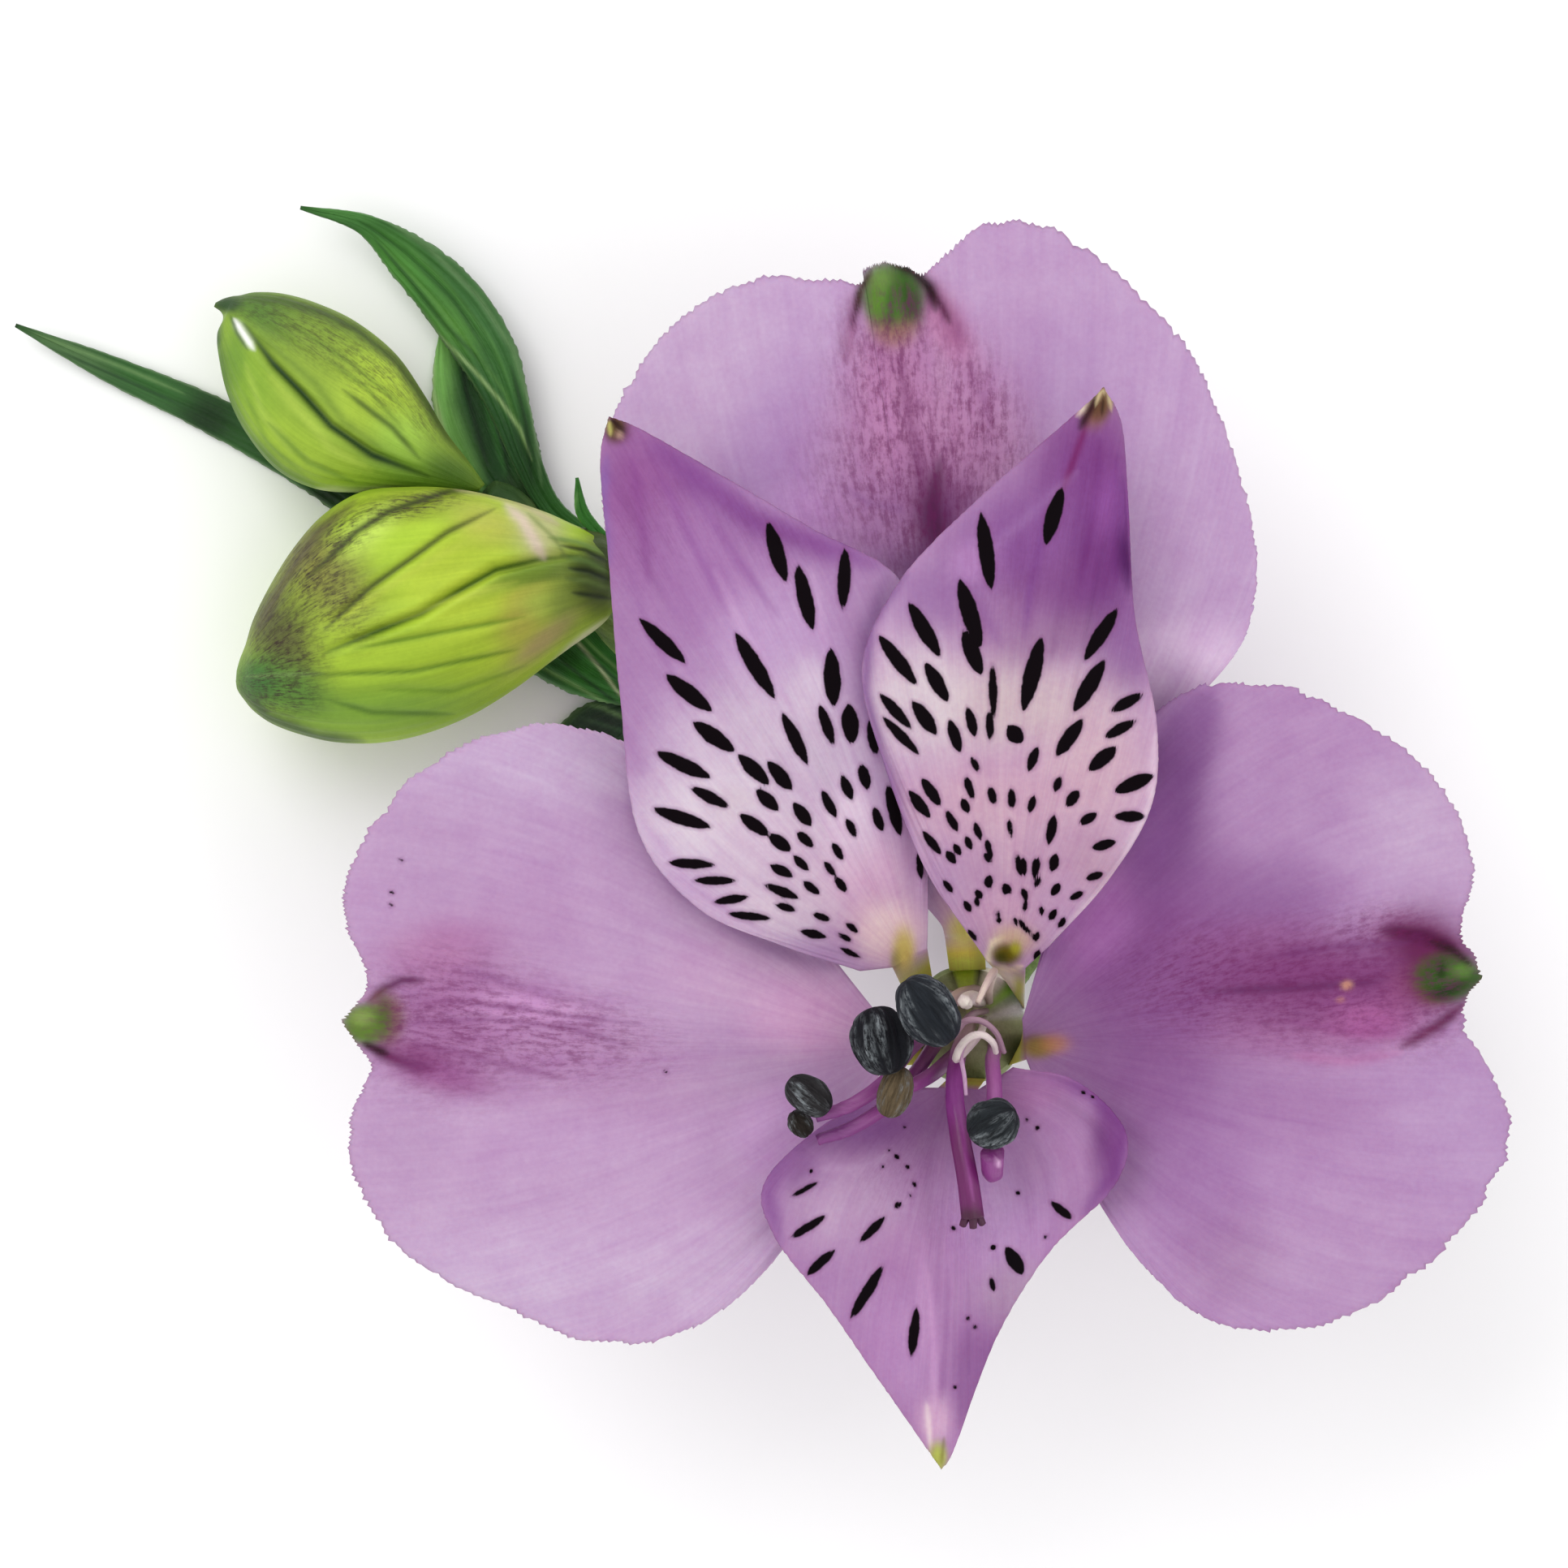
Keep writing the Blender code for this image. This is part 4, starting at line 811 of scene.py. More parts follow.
def tepal_shape(name, form):
    """Points and faces of a tepal, each point's level, and its vein places: across, along and side."""
    margin, shares, length = jagged_margin(name, form)
    points, point_levels, veins = [], [], []
    count = 0

    def lay(level, stride, lift):
        """Adds a row of vertices on the upper (1) or lower (-1) side, and returns their numbers."""
        nonlocal count
        pick = slice(None, None, stride)
        out = max(level, 0)
        share = shares[pick]
        x, y, z = tepal_row(form, share, margin[pick], level)
        reach = out * length[pick]
        rim = np.minimum((1 - level) * length[pick], (1 - np.abs(share)) * (2.0 + 30 * out))
        thick = PETAL / 2 * np.sqrt(np.clip(1 - (1 - np.clip(rim / PETAL_RIM, 0, 1)) ** 2, 0, 1))
        vein = share / (1 - 0.28 * out**2)
        inside = np.clip(rim / 2, 0, 1)
        ribs = PETAL_RIBS * np.cos(vein * 60 + 2 * np.sin(vein * 9)) * np.clip(reach / 8, 0, 1) * inside
        waves = PETAL_WAVES * np.sin(vein * 17 + 5 * level) * np.clip(reach / 12, 0, 1) * inside
        right, down = picture_place(x, y)
        *patch, raised = form["point"]
        z = z + ribs + waves - sunk(right, down, form["creases"]) * np.clip(rim / 0.8, 0, 1)
        z = z + raised * soft(right, down, *patch, 0.0, 2.5) + thick * lift
        points.append(spot(x, y, z))
        point_levels.append(np.full_like(x, level))
        along = np.full_like(x, out + 0.2 * min(level, 0))
        veins.append(np.stack([vein, along, np.full_like(x, lift)], 1))
        numbers = count + np.arange(len(x))
        count += len(x)
        return numbers

    claw = np.linspace(-1, 0, CLAW_ROWS, endpoint=False)
    levels = np.concatenate([claw, np.linspace(0, 1, BLADE_ROWS + 1)])
    top = [lay(level, upper_stride(level), 0 if level in (-1, 1) else 1) for level in levels]
    # The underside is coarser, and shares the rows at the foot and the margin.
    shared = {-1: top[0], 1: top[-1]}
    strides = {levels[-2]: 2, levels[-3]: 4}
    picks = sorted({-1, *levels[1:CLAW_ROWS:2], *levels[CLAW_ROWS::5], *levels[-4:-1], 1})
    under = [shared[level] if level in shared else lay(level, strides.get(level, 8), -1) for level in picks]
    faces = [zipped(near, far) for near, far in zip(top, top[1:])]
    faces += [zipped(near, far)[:, ::-1] for near, far in zip(under, under[1:])]
    # Side walls close the claw and the blade's two straight sides.
    rows = [int(np.argmin(np.abs(levels - level))) for level in picks]
    faces.append(side_wall([row[0] for row in top], [row[0] for row in under], rows))
    faces.append(side_wall([row[-1] for row in top], [row[-1] for row in under], rows)[:, ::-1])
    return np.concatenate(points), faces, np.concatenate(point_levels), np.concatenate(veins)


def tepal(name, form, material):
    points, faces, level, vein = tepal_shape(name, form)
    px, py = seen(points)
    hue = painted(px, py, form["ground"], form["marks"])
    claw = np.clip(-level * 3.0, 0, 1)[:, None]
    hue = hue * (1 - claw) + painted(px, py, CLAW_GREEN, CLAW_MARKS) * claw
    below = vein[:, 2] < 0
    beneath = below[:, None] * UNDERSIDE_STRENGTH
    hue = hue * (1 - beneath) + tone(*UNDERSIDE) * PAINT * beneath
    net = np.zeros(len(px))
    for patch in form["net"]:
        net = np.maximum(net, soft(px, py, *patch))
    dash = np.where(below | (level < 0), FAR_OUTSIDE, dashes(px, py, form["dashes"]))
    piece = raise_mesh("look_" + name, points, faces, material, hue=hue, vein=vein,
                       net=net * form["net_strength"], dash=dash)
    stands_for(piece, name)


petal = painted_material(
    "petal", roughness=0.6, specular=0.05, broad_scale=(20.0, 2.2, 1.0), fine_scale=(84.0, 6.0, 1.0),
    streak=0.075, speck=(100, 34, 84), speck_scale=(90.0, 26.0, 1.0), depth=0.00003, tint=(0.75, 1.5, 0.7),
    dashed=True, Subsurface_Weight=0.08, Subsurface_Scale=0.001)
for name, form in TEPALS.items():
    tepal(name, form, petal)


# Round pieces: rings square to a spine.

def rings_along(spine, sides, relief, upright=(0, 0, 1)):
    """Rings along rows of plan place, height, half width and half height, shaped by relief(turn, share)."""
    centres = spot(spine[:, 0], spine[:, 1], spine[:, 2])
    along = np.gradient(centres, axis=0)
    along /= np.linalg.norm(along, axis=1)[:, None]
    side = np.cross(along, np.array(upright, float))
    side /= np.linalg.norm(side, axis=1)[:, None]
    rise = np.cross(side, along)
    turn = (np.arange(sides) * 2 * math.pi / sides)[None, :]
    share = np.linspace(0, 1, len(spine))[:, None]
    swell = relief(turn, share) * np.ones((len(spine), sides))
    wide = (swell * np.cos(turn) * spine[:, 3:4])[..., None] * side[:, None] * MM
    high = (swell * np.sin(turn) * spine[:, 4:5])[..., None] * rise[:, None] * MM
    return centres[:, None] + wide + high, turn + 0 * share, share + 0 * turn


def lofted(rings):
    """Points and faces of a closed form through rings, with a point at each end."""
    count, sides = rings.shape[:2]
    points = np.concatenate([rings.reshape(-1, 3), rings[0].mean(0)[None], rings[-1].mean(0)[None]])
    at = np.arange(count * sides).reshape(count, sides)
    nxt = np.roll(at, -1, axis=1)
    quads = np.stack([at[:-1], nxt[:-1], nxt[1:], at[1:]], -1).reshape(-1, 4)
    first = np.stack([nxt[0], at[0], np.full(sides, count * sides)], 1)
    last = np.stack([at[-1], nxt[-1], np.full(sides, count * sides + 1)], 1)
    return points, [quads, np.concatenate([first, last])]


def capped(field):
    """A field over rings, carried on to the two end points."""
    return np.concatenate([field.ravel(), [field[0].mean(), field[-1].mean()]])


def around_axis(turn, share):
    """The vein places of a round piece: across, along and across."""
    return np.stack([capped(np.sin(turn)), capped(share), capped(np.cos(turn))], 1)


def round_piece(name, rings, turn, share, ground, marks, material, net=(), net_strength=0.0, shown=1.0):
    """A mesh over rings. Its marks fade to the ground tone where shown, a field over the rings, is low."""
    points, faces = lofted(rings)
    px, py = seen(points)
    shown = capped(shown * np.ones_like(turn))[:, None]
    hue = painted(px, py, ground, marks) * shown + tone(*ground) * PAINT * (1 - shown)
    cover = np.zeros(len(px))
    for patch in net:
        cover = np.maximum(cover, soft(px, py, *patch) * shown[:, 0])
    vein = around_axis(turn, share)
    return raise_mesh(name, points, faces, material, hue=hue, vein=vein, net=cover * net_strength)


# Buds: stations from the ovary to the tip, each with the two sides of the outline in picture units, the
# height of the middle and half the depth. The creases are where the closed tepals meet, and the darker
# strokes laid along them are painted shade.
BUDS = {
    "bud_upper": dict(
        stations=[
            (598, 597, 588, 607, 3.0, 0.7), (576, 566, 550, 606, 3.9, 1.4), (550, 532, 508, 606, 4.7, 2.5),
            (523, 486, 452, 607, 5.3, 3.5), (488, 436, 392, 603, 5.6, 4.1), (440, 397, 342, 579, 5.7, 4.1),
            (392, 374, 304, 534, 5.8, 3.8), (350, 362, 281, 487, 5.9, 3.2), (316, 360, 270, 440, 6.0, 2.4),
            (296, 364, 268, 412, 6.1, 1.7), (287, 365, 275, 394, 6.1, 1.2), (276, 368, 273, 385, 6.1, 0.8),
            (266, 373, 264, 378, 6.1, 0.3),
        ],
        creases=[
            ([(300, 398), (337, 446), (372, 483), (408, 524), (459, 560), (525, 586)], 7, 0.6),
            ([(423, 480), (485, 528), (518, 566)], 5, 0.22),
            ([(330, 520), (380, 570), (440, 596)], 5, 0.16),
            ([(360, 420), (440, 470), (500, 530)], 8, 0.16),
            ([(300, 450), (322, 520), (370, 575)], 6, 0.12),
        ],
        ground=(152, 184, 62),
        marks=[
            ((345, 392, 90, 30, 25), (84, 124, 50), 1.0), ((400, 430, 70, 36, 40), (142, 168, 60), 0.7),
            ((470, 482, 54, 56, 45), (184, 214, 68), 0.85), ((310, 480, 24, 60, -15), (140, 178, 56), 0.9),
            ((380, 556, 80, 24, 32), (164, 196, 60), 0.85), ((512, 575, 60, 30, 20), (112, 154, 56), 0.85),
            ((290, 440, 14, 40), (112, 152, 54), 0.8), ((500, 540, 40, 26, 40), (182, 226, 88), 0.85),
            ([(272, 385), (269, 424), (279, 485), (304, 536), (345, 580), (390, 600), 9], (84, 120, 50),
             0.8),
            ([(290, 366), (350, 370), (400, 386), (440, 406), (490, 446), (526, 496), (552, 540),
              (580, 572), 8], (66, 88, 44), 0.85),
            # Dark strokes along the creases, here and at (423, 480), are painted shade.
            ([(300, 398), (337, 448), (372, 484), (408, 525), (459, 561), (530, 588), 5.5], (34, 64, 28),
             1.0), ((562, 586, 40, 20, 30), (88, 126, 52), 0.8),
            ([(316, 412), (350, 440), (390, 474), (424, 520), (470, 552), 6], (98, 128, 44), 0.5),
            ([(423, 480), (485, 528), (518, 566), 4.5], (70, 98, 38), 0.8),
            ([(400, 440), (450, 476), (500, 532), 4], (106, 136, 48), 0.6),
            ([(360, 400), (430, 446), (496, 500), 4], (100, 130, 50), 0.5),
            ([(330, 460), (366, 502), (408, 552), (460, 582), 6], (186, 212, 84), 0.55),
            ([(302, 446), (322, 506), (362, 560), 5], (180, 208, 86), 0.45),
            ([(330, 520), (380, 570), (440, 596), 4], (112, 146, 52), 0.7),
            ([(300, 480), (330, 546), (380, 590), 3.5], (116, 150, 56), 0.5),
            ((280, 374, 20, 11, 0, 2.0), (52, 84, 40), 1.0),
            ([(268, 380), (266, 402), (268, 430), 5], (50, 84, 42), 0.8),
            ([(288, 392), (298, 408), (314, 432), 4.5], (250, 252, 246), 1.0),
            ([(284, 388), (292, 410), (306, 432), 2.5], (60, 86, 44), 0.7),
            ([(388, 603), (440, 606), (500, 603), 5], (226, 230, 180), 0.7),
        ],
        net=[(400, 415, 90, 34, 25), (340, 388, 60, 20, 15), (470, 460, 60, 40, 40),
             (526, 506, 26, 40, -30)],
        net_strength=0.6),
    "bud_lower": dict(
        stations=[
            (752, 682, 756, 752, 7.0, 1.4), (744, 668, 748, 764, 7.0, 2.4), (728, 656, 732, 778, 7.0, 3.1),
            (702, 644, 706, 796, 7.1, 3.6), (670, 630, 676, 818, 7.3, 4.6), (620, 614, 636, 848, 7.5, 5.5),
            (560, 602, 584, 880, 7.5, 6.0), (500, 600, 528, 903, 7.5, 6.2), (446, 606, 472, 915, 7.5, 6.1),
            (399, 634, 418, 915, 7.5, 5.8), (363, 674, 374, 906, 7.4, 5.2), (335, 718, 338, 893, 7.4, 4.3),
            (313, 762, 314, 877, 7.3, 3.2), (303, 794, 301, 862, 7.3, 2.1), (296, 812, 293, 850, 7.3, 1.2),
            (292, 826, 291, 840, 7.3, 0.5),
        ],
        creases=[
            ([(376, 716), (440, 655), (480, 630), (551, 606), (600, 600)], 6, 0.35),
            ([(400, 776), (459, 722), (510, 686), (551, 656), (612, 626)], 6, 0.35),
            ([(398, 806), (459, 781), (520, 756), (571, 725), (612, 702), (663, 690), (716, 684)], 7, 0.7),
            ([(390, 832), (510, 827), (640, 800)], 5, 0.2), ([(434, 800), (536, 781), (650, 760)], 5, 0.2),
            ([(403, 862), (459, 878), (560, 880)], 5, 0.16),
            ([(470, 850), (560, 852), (650, 820)], 5, 0.14),
            ([(690, 672), (722, 678), (756, 694)], 4, 0.25),
            ([(700, 700), (726, 704), (756, 716)], 4, 0.25),
            ([(704, 730), (728, 734), (756, 738)], 4, 0.25),
        ],
        ground=(178, 212, 58),
        marks=[
            ((600, 740, 90, 50, -15), (198, 224, 66), 0.85), ((480, 876, 130, 36, -5), (126, 172, 62), 0.8),
            ((560, 690, 80, 36, -35), (186, 208, 58), 0.8), ((500, 622, 80, 22, -8), (136, 146, 44), 0.75),
            ((650, 750, 30, 60, 20), (196, 182, 88), 0.7), ((664, 656, 34, 30, 40), (206, 204, 150), 0.8),
            ((600, 644, 46, 26, 20), (190, 190, 88), 0.7), ((395, 700, 50, 84, -40), (124, 116, 60), 0.85),
            ((345, 784, 44, 76, -25), (88, 90, 50), 0.95), ((350, 850, 66, 34, 15), (86, 132, 54), 0.9),
            ((316, 838, 28, 30), (60, 112, 48), 0.9), ((454, 654, 44, 20, -40), (196, 226, 94), 0.8),
            ((672, 744, 30, 22), (190, 218, 88), 0.8),
            ([(296, 846), (330, 884), (390, 908), (450, 914), 9], (52, 80, 40), 0.85),
            ([(316, 780), (350, 716), (392, 656), (440, 616), 8], (92, 82, 56), 0.8),
            # The strokes laid along the creases, darker than the skin, here and below, are painted shade.
            ([(376, 716), (440, 655), (480, 630), (551, 606), (600, 600), 5], (46, 56, 24), 0.9),
            ([(400, 776), (459, 722), (510, 686), (551, 656), (612, 626), 4], (50, 60, 26), 0.85),
            ([(420, 764), (480, 722), (550, 680), (610, 652), 6], (196, 214, 74), 0.5),
            ([(398, 806), (459, 781), (520, 756), (571, 725), (612, 702), (663, 690),
              (716, 684), 4], (58, 92, 24), 0.95), ((676, 704, 60, 13, -10, 2.0), (98, 132, 46), 0.9),
            ((640, 712, 50, 12, -20), (134, 166, 54), 0.8), ((700, 734, 24, 50), (128, 152, 58), 0.85),
            ((738, 712, 34, 54, 0, 2.0), (50, 64, 32), 0.95),
            ([(676, 662), (712, 668), (748, 684), 4], (112, 146, 66), 0.8),
            ([(690, 684), (720, 690), (752, 706), 4], (92, 122, 54), 0.8),
            ([(696, 712), (724, 716), (754, 726), 4], (96, 120, 56), 0.8),
            ([(690, 672), (722, 678), (752, 694), 3], (28, 42, 22), 0.85),
            ([(700, 700), (726, 704), (754, 716), 3], (30, 42, 24), 0.85),
            ([(704, 730), (728, 734), (754, 738), 3], (36, 48, 26), 0.85),
            ([(390, 832), (510, 827), (640, 800), 3], (92, 130, 34), 0.85),
            ([(434, 800), (536, 781), (650, 760), 3], (108, 148, 36), 0.8),
            ([(403, 862), (459, 878), (560, 880), 3.5], (84, 124, 44), 0.8),
            ([(470, 850), (560, 852), (650, 820), 3], (116, 156, 44), 0.7),
            ([(470, 770), (560, 738), (640, 716), 5], (200, 218, 84), 0.5),
            ([(300, 834), (340, 832), (400, 830), 3], (120, 150, 84), 0.6),
            ([(600, 884), (668, 834), (704, 798), (734, 774), (756, 758), 5], (230, 232, 190), 0.85),
            ((670, 790, 44, 13, -40), (192, 164, 118), 0.7),
            ([(622, 620), (644, 640), (664, 676), (672, 690), 8], (232, 214, 190), 0.95),
            ([(632, 616), (660, 630), (690, 648), 5], (202, 190, 146), 0.7),
            ([(650, 632), (684, 664), (700, 690), 3], (120, 140, 66), 0.6),
            ([(560, 603), (600, 608), (640, 622), 4], (216, 206, 150), 0.6),
        ],
        net=[(386, 712, 48, 84, -40), (345, 790, 50, 76, -20), (420, 660, 50, 26, -40), (340, 850, 56, 34),
             (500, 624, 80, 16, -12)],
        net_strength=0.95),
}
BUD_FOLDS = 0.12
BUD_RIBS = 0.025
BUD_STEPS = 14
BUD_UPPER_SIDES = 180
BUD_LOWER_SIDES = 60


def bud(name, form, material):
    line = smooth(form["stations"], BUD_STEPS)
    above = np.linspace(0, math.pi, BUD_UPPER_SIDES, endpoint=False)
    around = np.concatenate([above, math.pi + np.linspace(0, math.pi, BUD_LOWER_SIDES)[:-1]])
    turn = around[None, :] + np.zeros((len(line), 1))
    share = np.linspace(0, 1, len(line))[:, None] + 0 * turn
    ax, ay, bx, by, height, deep = (line[:, i : i + 1] for i in range(6))
    px = (ax + bx) / 2 + (ax - bx) / 2 * np.cos(turn)
    py = (ay + by) / 2 + (ay - by) / 2 * np.cos(turn)
    swell = np.sign(np.sin(turn)) * np.abs(np.sin(turn)) ** 0.9
    rings = spot((px - UNIT_ZERO[0]) * UNIT, (UNIT_ZERO[1] - py) * UNIT, height + deep * swell)
    middle = rings.mean(axis=1, keepdims=True)
    out = rings - middle
    radius = np.linalg.norm(out, axis=-1) / MM
    # The creases lie on the upper side, six soft folds on the lower one, and fine ribs all round.
    upper = np.clip(np.sin(turn) * 4, 0, 1)
    fade = np.sin(math.pi * share)
    sink = sunk(px, py, form["creases"]) * upper + BUD_FOLDS * (1 - upper) * np.cos(turn * 6) * fade
    sink = sink + BUD_RIBS * np.cos(turn * 34) * fade
    sink = sink * np.clip(radius / 3, 0, 1) * np.clip(np.abs(np.sin(turn)) * 6, 0, 1)
    rings = middle + out * (1 - sink / np.maximum(radius, 0.2))[..., None]
    shown = np.clip(1 + 4.5 * np.sin(turn), 0, 1)
    piece = round_piece("look_" + name, rings, turn, share, form["ground"], form["marks"], material,
                        form["net"], form["net_strength"], shown)
    stands_for(piece, name)


bud_skin = painted_material(
    "bud_skin", roughness=0.5, specular=0.2, broad_scale=(9.0, 2.5, 9.0), fine_scale=(34.0, 4.0, 34.0),
    streak=0.1, speck=(54, 40, 34), speck_scale=(40.0, 40.0, 40.0), depth=0.00006, tint=(1.1, 0.9, 1.2))
for name, form in BUDS.items():
    bud(name, form, bud_skin)


# Ovaries: spines of plan place, height, half width and half height, from the bud into the pedicel.
OVARIES = {
    "bud_upper_ovary": [(-29.2, 32.0, 2.8, 1.1, 1.1), (-28.3, 31.3, 2.45, 1.45, 1.45),
                        (-27.2, 30.4, 2.4, 1.4, 1.4), (-26.55, 29.87, 2.4, 1.0, 1.0),
                        (-26.1, 29.5, 2.4, 0.8, 0.8), (-25.6, 28.9, 2.45, 0.6, 0.6)],
    "bud_lower_ovary": [
        (-24.0, 27.3, 7.0, 2.7, 2.5), (-23.2, 27.5, 7.0, 2.6, 2.4), (-22.0, 27.8, 6.9, 2.1, 2.0),
        (-21.3, 27.9, 6.9, 1.3, 1.3), (-20.8, 27.9, 6.9, 1.0, 1.0), (-20.3, 27.8, 6.88, 0.8, 0.8),
        (-19.9, 27.6, 6.85, 0.6, 0.6),
    ],
}
# The lower bud's ovary has pale ribs and dark furrows, painted highlights and painted shade over its
# relief, and a pale edge. The last patch is painted shade on the upper one.
OVARY_MARKS = [
    ((735, 710, 30, 60), (48, 60, 32), 0.9), ((700, 745, 40, 30), (112, 130, 58), 0.8),
    ([(690, 668), (720, 672), (748, 690), 4], (104, 138, 66), 0.8),
    ([(690, 690), (720, 694), (750, 712), 4], (96, 122, 56), 0.8),
    ([(690, 716), (720, 718), (748, 730), 4], (110, 132, 64), 0.8),
    ([(700, 680), (730, 686), (750, 700), 3], (30, 44, 24), 0.8),
    ([(700, 704), (730, 708), (752, 722), 3], (34, 46, 26), 0.8),
    ([(700, 732), (726, 734), (750, 746), 3], (44, 54, 30), 0.8),
    ([(690, 800), (720, 776), (752, 762), 7], (226, 228, 190), 0.8),
    ((620, 612, 44, 30), (44, 76, 34), 0.95),
]
# Seen down the throat, the ovary's top is painted pale: partly the cream of the threads there, partly
# painted light against the deep throat's shade and where white gaps show between the tepals. Green lies
# between the tepals' feet, and the two dark strokes beside the top tepal's claw are painted shade.
BLOOM_MARKS = [
    ((1200, 1260, 66, 66, 0, 2.5), (214, 222, 160), 0.9),
    ((1244, 1246, 16, 44, 12, 2.0), (150, 224, 40), 0.95),
    ((1190, 1200, 18, 40, 0, 2.0), (214, 244, 50), 0.95),
    ((1250, 1294, 28, 14, -10, 2.0), (58, 74, 10), 0.9), ((1216, 1216, 14, 34, 20), (255, 244, 220), 0.95),
    ((1200, 1290, 34, 16), (230, 206, 200), 0.8), ((1262, 1226, 12, 40, 22, 2.5), (255, 255, 255), 1.0),
    ((1250, 1234, 6, 34, 24), (110, 150, 40), 0.6), ((1240, 1258, 15, 28, -8, 2.0), (60, 88, 10), 0.95),
    ((1176, 1262, 20, 26), (178, 138, 160), 0.7), ((1229, 1220, 10, 18, 10, 2.0), (255, 240, 234), 0.9),
    ([(1208, 1180), (1205, 1245), 4], (44, 40, 24), 0.9),
    ([(1168, 1180), (1180, 1236), 4], (50, 44, 24), 0.9),
]
BUD_OVARY_GROUND = (86, 108, 50)
BLOOM_OVARY_GROUND = (84, 104, 46)
# Heights and radii of the bloom's ovary, which stands under the middle of the throat.
BLOOM_OVARY = [(6.2, 0.8), (7.0, 1.3), (7.7, 2.3), (9.0, 3.1), (11.0, 3.6), (13.2, 3.7), (OVARY_TOP, 3.45)]
OVARY_RIBS = 6
OVARY_SIDES = 72
BLOOM_OVARY_SIDES = 96


def bud_ovary(name, spine, material):
    def relief(turn, share):
        return 1 + 0.07 * np.cos(OVARY_RIBS * turn) * np.sin(math.pi * share) ** 0.5

    ribbed = rings_along(smooth(spine, 8), OVARY_SIDES, relief)
    piece = round_piece("look_" + name, *ribbed, BUD_OVARY_GROUND, OVARY_MARKS, material)
    stands_for(piece, name)


def bloom_ovary(material):
    def relief(turn, share):
        return 1 + 0.06 * np.cos(OVARY_RIBS * turn) * (1.1 - share)

    profile = smooth([(0, 0, height, radius, radius) for height, radius in BLOOM_OVARY], 10)
    rings, turn, share = rings_along(profile, BLOOM_OVARY_SIDES, relief, (0, 1, 0))
    shown = np.clip((share - 0.7) * 8, 0, 1)
    piece = round_piece("look_bloom_ovary", rings, turn, share, BLOOM_OVARY_GROUND, BLOOM_MARKS, material,
                        shown=shown)
    stands_for(piece, "bloom_ovary")


ovary_skin = painted_material(
    "ovary_skin", roughness=0.5, specular=0.2, broad_scale=(8.0, 2.0, 8.0), fine_scale=(30.0, 4.0, 30.0),
    streak=0.14, speck=(50, 60, 30), speck_scale=(40.0, 40.0, 40.0), depth=0.00008)
for name, spine in OVARIES.items():
    bud_ovary(name, spine, ovary_skin)
bloom_ovary(ovary_skin)


